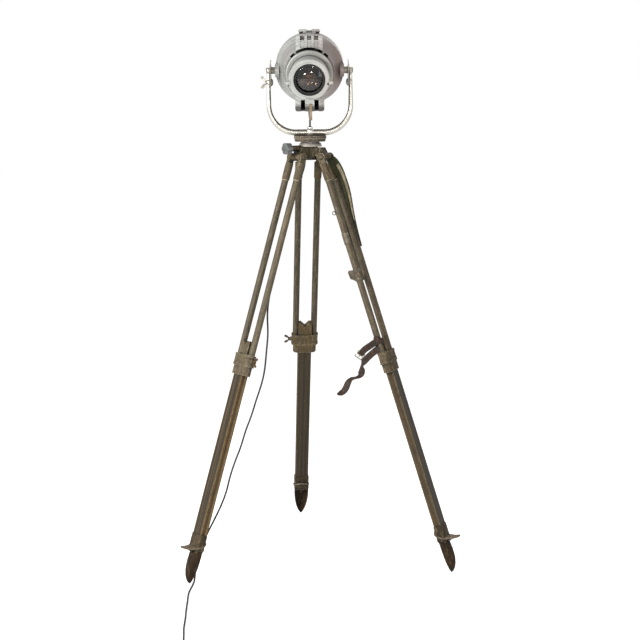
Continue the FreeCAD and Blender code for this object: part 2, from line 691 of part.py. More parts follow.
def tilt_wing_nut():
    """Wing nut on the left lock bolt."""
    hub = cylinder(WING_HUB_DIAMETER, Vector(0, 0, 0), Y_AXIS * WING_HUB_LENGTH)
    wings = wing_nut_wings(WING_HUB_LENGTH * 0.5, WING_REACH, WING_SPAN * 1.3, WING_THICKNESS)
    nut = fused(hub, *wings)
    nut = nut.cut(cylinder(LOCK_BOLT_DIAMETER + 2 * FIT, Vector(0, -1, 0), Y_AXIS * (WING_HUB_LENGTH + 1)))
    nut.rotate(Vector(0, 0, 0), Y_AXIS, 90)
    nut.rotate(Vector(0, 0, 0), Z_AXIS, 90)
    knuckle_end = eye_inner_face() + KNUCKLE_LENGTH + GAP
    nut.translate(Vector(-knuckle_end, 0, TILT_HEIGHT - KNUCKLE_DROP))
    return nut


# ======================================================================= legs
def leg_point(x, y, down):
    return Vector(x, y, -down)


def leg_sockets():
    """The two top sockets of a leg, each with its hinge eye."""
    sockets = []
    for side in (1, -1):
        y = side * HALF_SPACING
        socket = cylinder(SOCKET_DIAMETER, leg_point(0, y, SOCKET_TOP), leg_point(0, y, SOCKET_BOTTOM))
        taper = Part.makeCone(
            TUBE_RADIUS, SOCKET_DIAMETER / 2, 6, leg_point(0, y, SOCKET_BOTTOM + 6), Z_AXIS)
        eye_half = Y_AXIS * (EYE_WIDTH / 2)
        eye = cylinder(EYE_DIAMETER, leg_point(0, y, 0) - eye_half, leg_point(0, y, 0) + eye_half)
        neck_half = 0.38 * EYE_DIAMETER
        neck = box(-neck_half, neck_half, y - EYE_WIDTH / 2, y + EYE_WIDTH / 2, -SOCKET_TOP - 6, 0)
        solid = fused(socket, taper, eye, neck)
        solid = solid.cut(cylinder(TUBE_DIAMETER, leg_point(0, y, TUBE_TOP), leg_point(0, y, LEG_LENGTH)))
        pin_hole = cylinder(PIN_DIAMETER + 2 * FIT, leg_point(0, y - 20, 0), leg_point(0, y + 20, 0))
        sockets.append(solid.cut(pin_hole))
    return group(*sockets)


def leg_tubes():
    tubes = []
    for side in (1, -1):
        y = side * HALF_SPACING
        inner = TUBE_DIAMETER - 2 * TUBE_WALL
        tubes.append(tube(TUBE_DIAMETER, inner, leg_point(0, y, TUBE_TOP), leg_point(0, y, tube_bottom())))
    return group(*tubes)


def tube_bottom():
    return CLAMP_BAND_BOTTOM - 2


def stadium(half_width, half_depth, top, bottom):
    """Block with rounded ends along y, between two distances down the leg."""
    flat = half_width - half_depth
    middle = box(-half_depth, half_depth, -flat, flat, -bottom, -top)
    near = cylinder(2 * half_depth, leg_point(0, flat, bottom), leg_point(0, flat, top))
    far = cylinder(2 * half_depth, leg_point(0, -flat, bottom), leg_point(0, -flat, top))
    return fused(middle, near, far)


def clamp_screw_at():
    return CLAMP_TOP + BAND_LENGTH / 2


def clamp_casting():
    """Band round both tubes, collar round the bar, and the screw's boss."""
    band = stadium(BAND_HALF_WIDTH, CLAMP_HALF_DEPTH, CLAMP_TOP, CLAMP_BAND_BOTTOM)
    collar_block = stadium(COLLAR_HALF_WIDTH, CLAMP_HALF_DEPTH - 0.5, CLAMP_BAND_BOTTOM, CLAMP_BOTTOM)
    boss_start = leg_point(0, HALF_SPACING, clamp_screw_at())
    boss_end = leg_point(0, BAND_HALF_WIDTH + SCREW_BOSS_LENGTH, clamp_screw_at())
    boss = cylinder(SCREW_BOSS_DIAMETER, boss_start, boss_end)
    lips = []
    for down in (CLAMP_TOP + 3, CLAMP_BAND_BOTTOM - 3):
        lips.append(stadium(BAND_HALF_WIDTH + 1.2, CLAMP_HALF_DEPTH + 1.2, down - 3, down + 3))
    casting = fused(band, collar_block, boss, *lips)
    slot_width = BAR_WIDTH / 2 + BAR_GROOVE_GAP
    slot_depth = BAR_THICKNESS / 2 + BAR_GROOVE_GAP
    slot = box(-slot_depth, slot_depth, -slot_width, slot_width, -CLAMP_BOTTOM - 1, -CLAMP_TOP + 1)
    casting = casting.cut(slot)
    for side in (1, -1):
        seat = leg_point(0, side * HALF_SPACING, tube_bottom())
        casting = casting.cut(cylinder(TUBE_DIAMETER, seat, seat + Z_AXIS * BAND_LENGTH))
    screw_hole = cylinder(
        SCREW_DIAMETER + 2 * FIT, leg_point(0, HALF_SPACING, clamp_screw_at()), boss_end + Y_AXIS)
    return casting.cut(screw_hole)


def clamp_screw():
    """Wing screw that squeezes the near tube on the bar."""
    tip = leg_point(0, HALF_SPACING + TUBE_RADIUS + GAP, clamp_screw_at())
    seat = BAND_HALF_WIDTH + SCREW_BOSS_LENGTH + GAP
    shank = cylinder(SCREW_DIAMETER, tip, leg_point(0, seat, clamp_screw_at()))
    hub = cylinder(WING_HUB_DIAMETER, Y_AXIS * seat, Y_AXIS * (seat + WING_HUB_LENGTH))
    wings = wing_nut_wings(seat + WING_HUB_LENGTH * 0.4, WING_REACH, WING_SPAN, WING_THICKNESS)
    head = fused(hub, *wings)
    head.rotate(Vector(0, 0, 0), Y_AXIS, 90)
    head.translate(Z_AXIS * -clamp_screw_at())
    return fused(shank, head)


def bar_top():
    return CLAMP_TOP - GAP - BAR_IN_GUIDE


def grooves(top, bottom):
    """The two tubes with running clearance, to cut from what slides on them."""
    cutters = []
    for side in (1, -1):
        y = side * HALF_SPACING
        diameter = TUBE_DIAMETER + 2 * BAR_GROOVE_GAP
        cutters.append(cylinder(diameter, leg_point(0, y, bottom + 1), leg_point(0, y, top - 1)))
    return cutters


def bar_bottom():
    return SHOE_TOP + FERRULE_LENGTH - FERRULE_WALL


def bar_section(top, bottom):
    """The lower bar's full section between two distances down the leg."""
    half_width = BAR_WIDTH / 2
    half_depth = BAR_THICKNESS / 2
    block = box(-half_depth, half_depth, -half_width, half_width, -bottom, -top)
    return block.cut(grooves(top, bottom))


def lower_bar():
    """Hollow bar between the tubes."""
    half_width = HALF_SPACING - TUBE_RADIUS - BAR_GROOVE_GAP - BAR_WALL
    half_depth = BAR_THICKNESS / 2 - BAR_WALL
    top = -bar_top() + 1
    bottom = -bar_bottom() - 1
    inside = box(-half_depth, half_depth, -half_width, half_width, bottom, top)
    return bar_section(bar_top(), bar_bottom()).cut(inside)


def bar_guide():
    """Cap on the bar's top that rides between the tubes and stops on the clamp."""
    top = CLAMP_TOP - GAP - GUIDE_LENGTH
    bottom = CLAMP_TOP - GAP
    half_width = BAR_WIDTH / 2
    half_depth = GUIDE_THICKNESS / 2
    block = box(-half_depth, half_depth, -half_width, half_width, -bottom, -top).cut(grooves(top, bottom))
    outline = [
        Vector(-half_depth - 1, -half_width * 0.62, -top + 1),
        Vector(-half_depth - 1, half_width * 0.62, -top + 1),
        Vector(-half_depth - 1, 0, -top - GUIDE_NOTCH),
    ]
    notch = Part.Face(Part.makePolygon(outline + [outline[0]])).extrude(X_AXIS * (2 * half_depth + 2))
    return block.cut(notch).cut(bar_section(bar_top(), bottom + 1))


def spoon_section(half_width, depth, wall, down):
    """Crescent across the shoe, hollow towards the inside of the leg."""
    back = -TIP_INSET
    outer_left = leg_point(back, -half_width, down)
    outer_right = leg_point(back, half_width, down)
    inner_left = leg_point(back, -half_width + wall, down)
    inner_right = leg_point(back, half_width - wall, down)
    outer = Part.Arc(outer_left, leg_point(back + depth, 0, down), outer_right).toShape()
    inner = Part.Arc(inner_right, leg_point(back + depth - wall, 0, down), inner_left).toShape()
    right = Part.LineSegment(outer_right, inner_right).toShape()
    left = Part.LineSegment(inner_left, outer_left).toShape()
    return Part.Wire([outer, right, inner, left])


def off_leg(shape):
    """Bring a piece drawn level, along +X under the hinge, into the leg's frame."""
    placed = shape.copy()
    placed.translate(Vector(-HINGE_RADIUS, 0, -HINGE_HEIGHT))
    placed.rotate(Vector(0, 0, 0), Y_AXIS, LEG_SPREAD)
    return placed


def tread():
    """Level foot plate outside the shoe, on a triangular web."""
    lean = math.tan(SPREAD)
    leg_radius = HINGE_RADIUS + (HINGE_HEIGHT - TREAD_ABOVE_TIP) * lean
    inner = leg_radius + (BAR_THICKNESS / 2 + FERRULE_WALL) / math.cos(SPREAD) - TREAD_BITE
    outer = inner + TREAD_BITE + TREAD_REACH
    half = TREAD_WIDTH / 2
    under = TREAD_ABOVE_TIP - TREAD_THICKNESS
    plate = box(inner, outer, -half, half, under, TREAD_ABOVE_TIP)
    edge = -TREAD_THICKNESS / 2
    outline = [
        Vector(inner, edge, under),
        Vector(outer - 6, edge, under),
        Vector(inner + TREAD_WEB_DEPTH * lean, edge, TREAD_ABOVE_TIP - TREAD_WEB_DEPTH),
    ]
    web = Part.Face(Part.makePolygon(outline + [outline[0]])).extrude(Y_AXIS * TREAD_THICKNESS)
    return off_leg(plate.fuse(web))


def shoe():
    """Ferrule round the bar's end, pointed spoon, and the tread with its web."""
    half_width = BAR_WIDTH / 2 + FERRULE_WALL
    half_depth = BAR_THICKNESS / 2 + FERRULE_WALL
    ferrule_bottom = SHOE_TOP + FERRULE_LENGTH
    ferrule = box(-half_depth, half_depth, -half_width, half_width, -ferrule_bottom, -SHOE_TOP)
    cap_bottom = ferrule_bottom + 8
    cap = box(-half_depth, half_depth, -half_width + 1, half_width - 1, -cap_bottom, -ferrule_bottom)
    spoon_top = ferrule_bottom - 4
    spoon_length = LEG_LENGTH - spoon_top
    sections = [
        spoon_section(half_width, SPOON_DEPTH, SPOON_WALL, spoon_top),
        spoon_section(0.92 * half_width, 0.85 * SPOON_DEPTH, SPOON_WALL, spoon_top + 0.5 * spoon_length),
        spoon_section(0.55 * half_width, 0.5 * SPOON_DEPTH, SPOON_WALL, spoon_top + 0.85 * spoon_length),
        spoon_section(0.26 * half_width, 0.36 * SPOON_DEPTH, 0.8 * SPOON_WALL, LEG_LENGTH + 12),
    ]
    spoon = Part.makeLoft(sections, True, True)
    body = ferrule.fuse([cap, spoon, tread()])
    body = body.cut(bar_section(SHOE_TOP - 1, bar_bottom()))
    ground = 2 * LEG_LENGTH
    return body.cut(off_leg(box(-ground, ground, -ground, ground, -ground, 0)))


# ======================================================================= lamp
def body_solid(outer_radius, shoulder, front, face_radius, rear):
    """Drum with a domed front, as a solid about the lens axis."""
    a = Vector(0, -rear, 0)
    b = Vector(outer_radius, -rear, 0)
    c = Vector(outer_radius, -shoulder, 0)
    bulge = 0.42
    middle_radius = outer_radius - (outer_radius - face_radius) * (1 - math.cos(math.pi * bulge))
    middle = Vector(middle_radius, -(shoulder + (front - shoulder) * 0.66), 0)
    d = Vector(face_radius, -front, 0)
    e = Vector(0, -front, 0)
    lines = [Part.LineSegment(a, b).toShape(), Part.LineSegment(b, c).toShape()]
    lines.append(Part.Arc(c, middle, d).toShape())
    lines += [Part.LineSegment(d, e).toShape(), Part.LineSegment(e, a).toShape()]
    return Part.Face(Part.Wire(lines)).revolve(Vector(0, 0, 0), Y_AXIS, 360)


def ridge_block(half_width, radius, foot, front, rear):
    return box(-half_width, half_width, -front, -rear, foot, radius)


def below_axis(shape):
    """Turn a piece drawn over the lens axis to hang under it."""
    turned_down = shape.copy()
    turned_down.rotate(Vector(0, 0, 0), Y_AXIS, 180)
    return turned_down


def ridge(width, radius, rear):
    """Vent ridge over the lens axis, with its long upper edges rounded."""
    outer = ridge_block(width / 2, radius, RIDGE_FOOT, RIDGE_FRONT, rear)
    long_edges = [
        edge for edge in outer.Edges
        if abs(edge.CenterOfMass.z - radius) < 0.01 and abs(edge.CenterOfMass.x) > 1
    ]
    return outer.makeFillet(RIDGE_CORNER, long_edges)


def ridge_inside(width, radius, rear):
    half = width / 2 - RIDGE_WALL
    return ridge_block(half, radius - RIDGE_WALL, RIDGE_FOOT - 1, RIDGE_FRONT - RIDGE_WALL, rear + RIDGE_WALL)


def vent(step, foot, top, back):
    """Cutter for one vent of a ridge, from its front to a distance ahead."""
    x0 = step * VENT_SPACING - VENT_WIDTH / 2
    return box(x0, x0 + VENT_WIDTH, -RIDGE_FRONT - 1, -back, foot, top)


def upper_vents():
    """Notches in the roof's edge over shallow pockets, with a bar between them."""
    cutters = []
    notch_back = RIDGE_FRONT - RIDGE_WALL - VENT_NOTCH_LENGTH
    for step in (-1, 0, 1):
        cutters.append(vent(step, RIDGE_RADIUS - VENT_NOTCH_DROP, RIDGE_RADIUS + 1, notch_back))
        pocket_back = RIDGE_FRONT - VENT_POCKET_DEPTH
        cutters.append(vent(step, RIDGE_RADIUS - VENT_FOOT_DROP, RIDGE_RADIUS - VENT_BAR_DROP, pocket_back))
    return cutters


def lower_vents():
    """Slots of full height, open at the lower ridge's edge."""
    foot = LOWER_RIDGE_RADIUS - VENT_FOOT_DROP
    back = RIDGE_FRONT - RIDGE_WALL - 1
    return [below_axis(vent(step, foot, LOWER_RIDGE_RADIUS + 1, back)) for step in (-1, 1)]


def face_slot():
    """Arc slot through the front face over the gate, in three lengths."""
    depth = BODY_FRONT - RIDGE_FRONT + RIDGE_WALL + 1
    rear = ahead(BODY_FRONT - depth)
    front = ahead(BODY_FRONT + 1)
    ring = tube(FACE_SLOT_OUTER, FACE_SLOT_INNER, rear, front)
    inner_end = FACE_SLOT_BRIDGE_AT - FACE_SLOT_BRIDGE / 2
    outer_start = FACE_SLOT_BRIDGE_AT + FACE_SLOT_BRIDGE / 2
    spans = [(-inner_end, inner_end), (outer_start, FACE_SLOT_HALF_ANGLE)]
    spans.append((-FACE_SLOT_HALF_ANGLE, -outer_start))
    return [ring.common(face_sector(low, high)) for low, high in spans]


def face_sector(low_degrees, high_degrees):
    """Wedge about the lens axis; angles from straight up."""
    reach = BODY_DIAMETER
    corners = [Vector(0, 0, 0)]
    for angle in (math.radians(low_degrees), math.radians(high_degrees)):
        corners.append(Vector(math.sin(angle) * reach, 0, math.cos(angle) * reach))
    face = Part.Face(Part.makePolygon(corners + [corners[0]]))
    return face.extrude(Y_AXIS * (-2 * BODY_FRONT))


def lamp_housing():
    """Cast body: drum, domed front, vent ridges, side pads and cover lugs."""
    radius = BODY_DIAMETER / 2
    face = FACE_DIAMETER / 2
    outer = body_solid(radius, BODY_SHOULDER, BODY_FRONT, face, BODY_REAR)
    inner = body_solid(
        radius - BODY_WALL, BODY_SHOULDER, BODY_FRONT - BODY_WALL, face - BODY_WALL / 2, BODY_REAR - 1)
    pad = cylinder(PAD_DIAMETER, X_AXIS * (PAD_FACE - PAD_DEPTH), X_AXIS * PAD_FACE)
    pads = [pad, mirrored(pad)]
    lugs = [cover_lug(side, 0) for side in (1, -1)]
    upper = (RIDGE_WIDTH, RIDGE_RADIUS, RIDGE_REAR)
    lower = (LOWER_RIDGE_WIDTH, LOWER_RIDGE_RADIUS, LOWER_RIDGE_REAR)
    body = outer.fuse([ridge(*upper), below_axis(ridge(*lower))] + pads + lugs)
    body = body.cut([inner.cut(pads), ridge_inside(*upper), below_axis(ridge_inside(*lower))])
    body = body.cut(upper_vents() + lower_vents() + face_slot())
    body = body.cut(cylinder(GATE_BORE, ahead(BODY_FRONT - 20), ahead(BODY_FRONT + 1)))
    bolt_hole = cylinder(TRUNNION_DIAMETER, X_AXIS * (PAD_FACE - PAD_DEPTH - 1), X_AXIS * (PAD_FACE + 1))
    body = body.cut([bolt_hole, mirrored(bolt_hole)])
    body = body.cut([lug_room(side, 1) for side in (1, -1)])
    body = body.cut(cylinder(COVER_PIN_DIAMETER, cover_pin_end(-1), cover_pin_end(1)))
    body = body.cut(gland_shape())
    return body.removeSplitter()


def cover_hinge_point(x=0.0):
    return ahead(BODY_REAR + 1, x, COVER_HINGE_RADIUS)


def cover_pin_end(side):
    return cover_hinge_point(side * (COVER_LUG_INNER + 2 * COVER_LUG_WIDTH + GAP + 2))


def cover_lug(side, place):
    """Hinge lug; place 0 is the housing's, place 1 the cover's beside it."""
    start = COVER_LUG_INNER + place * (COVER_LUG_WIDTH + GAP)
    near = cover_hinge_point(side * start)
    far = cover_hinge_point(side * (start + COVER_LUG_WIDTH))
    lug = cylinder(COVER_LUG_DIAMETER, near, far)
    x0, x1 = sorted((near.x, far.x))
    half = COVER_LUG_DIAMETER / 2
    centre_y = near.y
    floor = BODY_DIAMETER / 2 - BODY_WALL
    if place == 0:
        web = box(x0, x1, centre_y - 3 * half, centre_y + 1, floor, COVER_HINGE_RADIUS)
    else:
        web = box(x0, x1, centre_y + 1 + GAP, centre_y + 2.2 * half, floor - 6, COVER_HINGE_RADIUS - 1)
    return lug.fuse(web)


def lug_room(side, place):
    """Space round a hinge lug, to cut from the piece that it moves past."""
    start = COVER_LUG_INNER + place * (COVER_LUG_WIDTH + GAP) - GAP
    near = cover_hinge_point(side * start)
    far = cover_hinge_point(side * (start + COVER_LUG_WIDTH + 2 * GAP))
    return cylinder(COVER_LUG_DIAMETER + 2 * GAP, near, far)


def rear_cover():
    """Domed cover on the top hinge, with its lugs and screw hole."""
    radius = BODY_DIAMETER / 2
    rim_y = -BODY_REAR + GAP
    outer = dome(radius, rim_y, COVER_DEPTH)
    inner = dome(radius - COVER_WALL, rim_y - 0.01, COVER_DEPTH - COVER_WALL)
    lugs = [cover_lug(side, 1) for side in (1, -1)]
    cover = outer.fuse(lugs).cut(inner)
    cover = cover.cut([lug_room(side, 0) for side in (1, -1)])
    cover = cover.cut(cylinder(COVER_PIN_DIAMETER + 2 * FIT, cover_pin_end(-1), cover_pin_end(1)))
    cover = cover.cut(cover_screw(FIT))
    return cover.removeSplitter()


def dome(radius, rim_y, depth):
    """Solid flattened dome with a short straight rim."""
    straight = 8.0
    a = Vector(0, rim_y, 0)
    b = Vector(radius, rim_y, 0)
    c = Vector(radius, rim_y + straight, 0)
    angle = math.radians(48)
    rise = (depth - straight) * math.sin(angle) ** 0.9
    middle = Vector(radius * math.cos(angle), rim_y + straight + rise, 0)
    d = Vector(radius * 0.16, rim_y + depth, 0)
    e = Vector(0, rim_y + depth, 0)
    edges = [Part.LineSegment(a, b).toShape(), Part.LineSegment(b, c).toShape()]
    edges.append(Part.Arc(c, middle, d).toShape())
    edges += [Part.LineSegment(d, e).toShape(), Part.LineSegment(e, a).toShape()]
    return Part.Face(Part.Wire(edges)).revolve(Vector(0, 0, 0), Y_AXIS, 360)


def cover_screw(clearance=0.0):
    """Captive screw through the cover's rim at the bottom."""
    height = -(BODY_DIAMETER / 2 - BODY_WALL - COVER_SCREW_DIAMETER)
    head_y = -BODY_REAR + GAP + COVER_SCREW_REACH
    shank_start = Vector(0, -BODY_REAR + GAP, height)
    shank = cylinder(COVER_SCREW_DIAMETER + 2 * clearance, shank_start, Vector(0, head_y, height))
    head_start = Vector(0, head_y - clearance, height)
    head_end = Vector(0, head_y + COVER_SCREW_HEAD_LENGTH, height)
    head = cylinder(COVER_SCREW_HEAD_DIAMETER + 2 * clearance, head_start, head_end)
    return fused(shank, head)


def gate_flange():
    neck_front = BODY_FRONT + GATE_NECK_LENGTH
    flange_front = neck_front + GATE_FLANGE_LENGTH
    neck = GATE_NECK_DIAMETER / 2
    flange = GATE_FLANGE_DIAMETER / 2
    bore = GATE_BORE / 2
    sleeve = SLEEVE_DIAMETER / 2
    sleeve_seat = flange_front - SLEEVE_IN_FLANGE
    profile = [
        (bore, BODY_FRONT),
        (neck, BODY_FRONT),
        (neck, neck_front),
        (flange, neck_front),
        (flange, flange_front - 2),
        (flange - 2, flange_front),
        (sleeve, flange_front),
        (sleeve, sleeve_seat),
        (bore, sleeve_seat),
    ]
    return lamp_turned(profile)


def gate_plate():
    rear = BODY_FRONT + 1
    front = rear + GATE_PLATE_THICKNESS
    disc = cylinder(GATE_BORE, ahead(rear), ahead(front))
    return disc.cut(cylinder(GATE_APERTURE, ahead(rear - 1), ahead(front + 1)))


def sleeve_rear():
    return BODY_FRONT + GATE_NECK_LENGTH + GATE_FLANGE_LENGTH - SLEEVE_IN_FLANGE


def lens_sleeve():
    """Fixed tube in the flange, slotted underneath for the focus screw."""
    body = tube(SLEEVE_DIAMETER, SLEEVE_DIAMETER - 2 * SLEEVE_WALL, ahead(sleeve_rear()), ahead(SLEEVE_FRONT))
    half_slot = FOCUS_SLOT_WIDTH / 2
    slot_rear = FOCUS_SCREW_AT - FOCUS_TRAVEL - half_slot
    slot_front = FOCUS_SCREW_AT + FOCUS_TRAVEL + half_slot
    floor = -SLEEVE_DIAMETER / 2
    return body.cut(box(-half_slot, half_slot, -slot_front, -slot_rear, floor - 1, floor + 8))


def lens_tube_radius():
    return SLEEVE_DIAMETER / 2 - SLEEVE_WALL - FIT


def lens_tube():
    """Sliding tube with the cast rim, the lens seat and the frame runners."""
    outer = lens_tube_radius()
    inner = outer - LENS_TUBE_WALL
    rim = LENS_RIM_DIAMETER / 2
    rim_rear = LENS_FRONT - LENS_RIM_LENGTH
    bore = LENS_BORE / 2
    shoulder = LENS_SHOULDER_DIAMETER / 2
    profile = [
        (inner, LENS_TUBE_REAR),
        (outer, LENS_TUBE_REAR),
        (outer, rim_rear),
        (rim - 1.5, rim_rear),
        (rim, rim_rear + 1.5),
        (rim, LENS_FRONT - 3),
        (rim - 3, LENS_FRONT),
        (bore, LENS_FRONT),
        (bore, lens_rear()),
        (shoulder, lens_rear()),
        (shoulder, lens_rear() - 3),
        (inner, lens_rear() - 12),
    ]
    body = lamp_turned(profile)
    front = LENS_FRONT + RUNNER_THICKNESS
    half = RUNNER_WIDTH / 2
    bottom = -(rim + RUNNER_REACH)
    runner = box(-half, half, -front, -(rim_rear + 3), bottom, -(rim - 5))
    slot = box(-half - 1, half + 1, -LENS_FRONT, -(LENS_FRONT - RUNNER_THICKNESS), bottom + 4, -(rim - 1))
    body = body.fuse(runner.cut(slot))
    for s in (1, -1):
        x0, x1 = sorted((s * (rim - 4), s * (rim + RUNNER_REACH)))
        low = -SIDE_RUNNER_WIDTH * 1.5
        side = box(x0, x1, -front, -(rim_rear + 3), low, low + SIDE_RUNNER_WIDTH)
        body = body.fuse(side)
    hole_top = ahead(FOCUS_SCREW_AT, 0, -inner + 1)
    hole_bottom = ahead(FOCUS_SCREW_AT, 0, -outer - 1)
    hole = cylinder(FOCUS_SCREW_DIAMETER + 2 * FIT, hole_bottom, hole_top)
    return body.cut(hole).removeSplitter()


def lens_edge_front():
    return LENS_FRONT - LENS_RIM_LENGTH - LENS_RING_LENGTH


def lens_rear():
    return lens_edge_front() - LENS_EDGE


def lens():
    """Plano-convex lens, bulging to the front."""
    seat_front = lens_edge_front()
    edge = cylinder(LENS_DIAMETER, ahead(lens_rear()), ahead(seat_front))
    clear = LENS_CLEAR_DIAMETER / 2 - 1
    sphere_radius = (clear ** 2 + LENS_CROWN ** 2) / (2 * LENS_CROWN)
    sphere = Part.makeSphere(sphere_radius, ahead(seat_front + LENS_CROWN - sphere_radius))
    crown_zone = cylinder(2 * clear, ahead(seat_front), ahead(seat_front + LENS_CROWN + 1))
    return fused(edge, sphere.common(crown_zone))


def lens_ring():
    """Black ring that lines the bore and holds the lens on its shoulder."""
    outer = LENS_BORE / 2
    rear = lens_edge_front()
    front = LENS_FRONT - LENS_RING_SET_BACK
    profile = [
        (LENS_CLEAR_DIAMETER / 2, rear),
        (outer, rear),
        (outer, front),
        (outer - LENS_RING_WALL, front),
        (outer - LENS_RING_WALL, rear + LENS_RING_LENGTH),
        (LENS_CLEAR_DIAMETER / 2, rear + LENS_RING_LENGTH),
    ]
    return lamp_turned(profile)


def focus_screw():
    """Knurled screw under the sleeve that locks the lens tube."""
    inner = lens_tube_radius() - LENS_TUBE_WALL + 0.5
    seat = SLEEVE_DIAMETER / 2 + GAP
    shank = cylinder(FOCUS_SCREW_DIAMETER, ahead(FOCUS_SCREW_AT, 0, -inner), ahead(FOCUS_SCREW_AT, 0, -seat))
    end = seat + FOCUS_KNOB_LENGTH
    knob = cylinder(FOCUS_KNOB_DIAMETER, ahead(FOCUS_SCREW_AT, 0, -seat), ahead(FOCUS_SCREW_AT, 0, -end))
    return fused(shank, knob)


def quadrant_plates():
    """Half-moon plate each side, with the arc slot for the lock bolt."""
    inner = PAD_FACE + spacer_length()
    outer = inner + QUADRANT_THICKNESS
    disc = cylinder(2 * QUADRANT_RADIUS, X_AXIS * inner, X_AXIS * outer)
    foot = -QUADRANT_RADIUS - 1
    keep = box(inner - 1, outer + 1, -QUADRANT_HALF_WIDTH, QUADRANT_HALF_WIDTH, foot, QUADRANT_TOP)
    plate = disc.common(keep)
    half_slot = LOCK_BOLT_DIAMETER / 2 + SLOT_CLEARANCE
    far = 2 * (KNUCKLE_DROP + half_slot)
    near = 2 * (KNUCKLE_DROP - half_slot)
    slot = tube(far, near, X_AXIS * (inner - 1), X_AXIS * (outer + 1))
    margin = math.degrees(half_slot / KNUCKLE_DROP)
    wedge = slot_wedge(inner - 2, outer + 2, -LAMP_TILT - TILT_DOWN - margin, -LAMP_TILT + TILT_UP + margin)
    plate = plate.cut(slot.common(wedge))
    plate = plate.cut(cylinder(TRUNNION_DIAMETER, X_AXIS * (inner - 1), X_AXIS * (outer + 1)))
    return group(plate, mirrored(plate))


def slot_wedge(x0, x1, low_degrees, high_degrees):
    """Sector below the tilt axis; angles from straight down in the lamp's frame."""
    reach = 3 * KNUCKLE_DROP
    steps = 8
    points = [Vector(x0, 0, 0)]
    for index in range(steps + 1):
        angle = math.radians(low_degrees + (high_degrees - low_degrees) * index / steps)
        points.append(Vector(x0, math.sin(angle) * reach, -math.cos(angle) * reach))
    face = Part.Face(Part.makePolygon(points + [points[0]]))
    return face.extrude(X_AXIS * (x1 - x0))


def trunnion_spacers():
    end = PAD_FACE + spacer_length()
    spacer = tube(SPACER_DIAMETER, TRUNNION_DIAMETER, X_AXIS * PAD_FACE, X_AXIS * end)
    return group(spacer, mirrored(spacer))


def trunnion_bolts():
    """Bolt each side from the housing's pad, through plate and yoke eye."""
    start = PAD_FACE - PAD_DEPTH
    seat = eye_inner_face() + YOKE_EYE_LENGTH + GAP
    shank = cylinder(TRUNNION_DIAMETER, X_AXIS * start, X_AXIS * seat)
    radius = TRUNNION_HEAD_DIAMETER / 2
    length = TRUNNION_HEAD_LENGTH
    profile = [(0, 0), (radius, 0), (radius, 0.5 * length), (0.6 * radius, length), (0, length)]
    bolt = fused(shank, turned(profile, X_AXIS * seat, X_AXIS))
    return group(bolt, mirrored(bolt))


def cover_pin():
    return cylinder(COVER_PIN_DIAMETER, cover_pin_end(-1), cover_pin_end(1))


def lamp_tray():
    """Tray across the drum, cut to the drum's inside."""
    radius = BODY_DIAMETER / 2 - BODY_WALL
    plate = box(-radius, radius, -TRAY_FRONT, -TRAY_REAR, -TRAY_DROP - TRAY_THICKNESS, -TRAY_DROP)
    return plate.common(cylinder(2 * radius, ahead(TRAY_FRONT + 1), ahead(TRAY_REAR - 1)))


def lampholder():
    foot = ahead(BULB_AT, 0, -TRAY_DROP)
    top = ahead(BULB_AT, 0, -TRAY_DROP + HOLDER_HEIGHT)
    body = cylinder(HOLDER_DIAMETER, foot, top)
    return body.cut(cylinder(BULB_BASE_DIAMETER, top - Z_AXIS * BULB_BASE_DEPTH, top + Z_AXIS))


def bulb():
    """Cap and glass, standing upright with its middle on the lens axis."""
    base_foot = -TRAY_DROP + HOLDER_HEIGHT - BULB_BASE_DEPTH
    cap = BULB_BASE_DIAMETER / 2
    glass = BULB_DIAMETER / 2
    profile = [
        (0, base_foot),
        (cap, base_foot),
        (cap, base_foot + 26),
        (glass, base_foot + 38),
        (glass, BULB_TOP - 12),
        (0.7 * glass, BULB_TOP - 3),
        (0, BULB_TOP),
    ]
    return turned(profile, ahead(BULB_AT), Z_AXIS)


def reflector():
    """Spherical mirror behind the bulb on a post from the tray."""
    centre = ahead(BULB_AT)
    outer = Part.makeSphere(REFLECTOR_RADIUS + REFLECTOR_WALL, centre)
    inner = Part.makeSphere(REFLECTOR_RADIUS, centre)
    rim = math.sqrt(REFLECTOR_RADIUS ** 2 - REFLECTOR_HALF_WIDTH ** 2)
    far = REFLECTOR_RADIUS + 10
    zone = box(-far, far, -(BULB_AT - rim), -(BULB_AT - far), -far, far)
    mirror = outer.cut(inner).common(zone)
    post_rear = -TRAY_REAR
    post = box(-8, 8, post_rear - 2, post_rear, -TRAY_DROP, -REFLECTOR_HALF_WIDTH * 0.5)
    return fused(mirror, post.cut(inner))


def gland_shape():
    """Tapered strain relief under the lower ridge, pointing away from the axis."""
    radius = GLAND_DIAMETER / 2
    profile = [
        (0, -RIDGE_WALL - 2),
        (radius + 2, -RIDGE_WALL - 2),
        (radius + 2, -RIDGE_WALL),
        (radius - 0.5, -RIDGE_WALL),
        (radius - 0.5, 0),
        (radius, 0),
        (CORD_RADIUS + 1, GLAND_LENGTH),
        (0, GLAND_LENGTH),
    ]
    return turned(profile, ahead(GLAND_AT, 0, -LOWER_RIDGE_RADIUS), -Z_AXIS)


def gland_end():
    """World point of the gland's mouth, and the way the lead leaves it."""
    tilt = FreeCAD.Rotation(X_AXIS, LAMP_TILT)
    mouth = ahead(GLAND_AT, 0, -LOWER_RIDGE_RADIUS - GLAND_LENGTH)
    return tilt.multVec(mouth) + Z_AXIS * TILT_HEIGHT, tilt.multVec(-Z_AXIS)


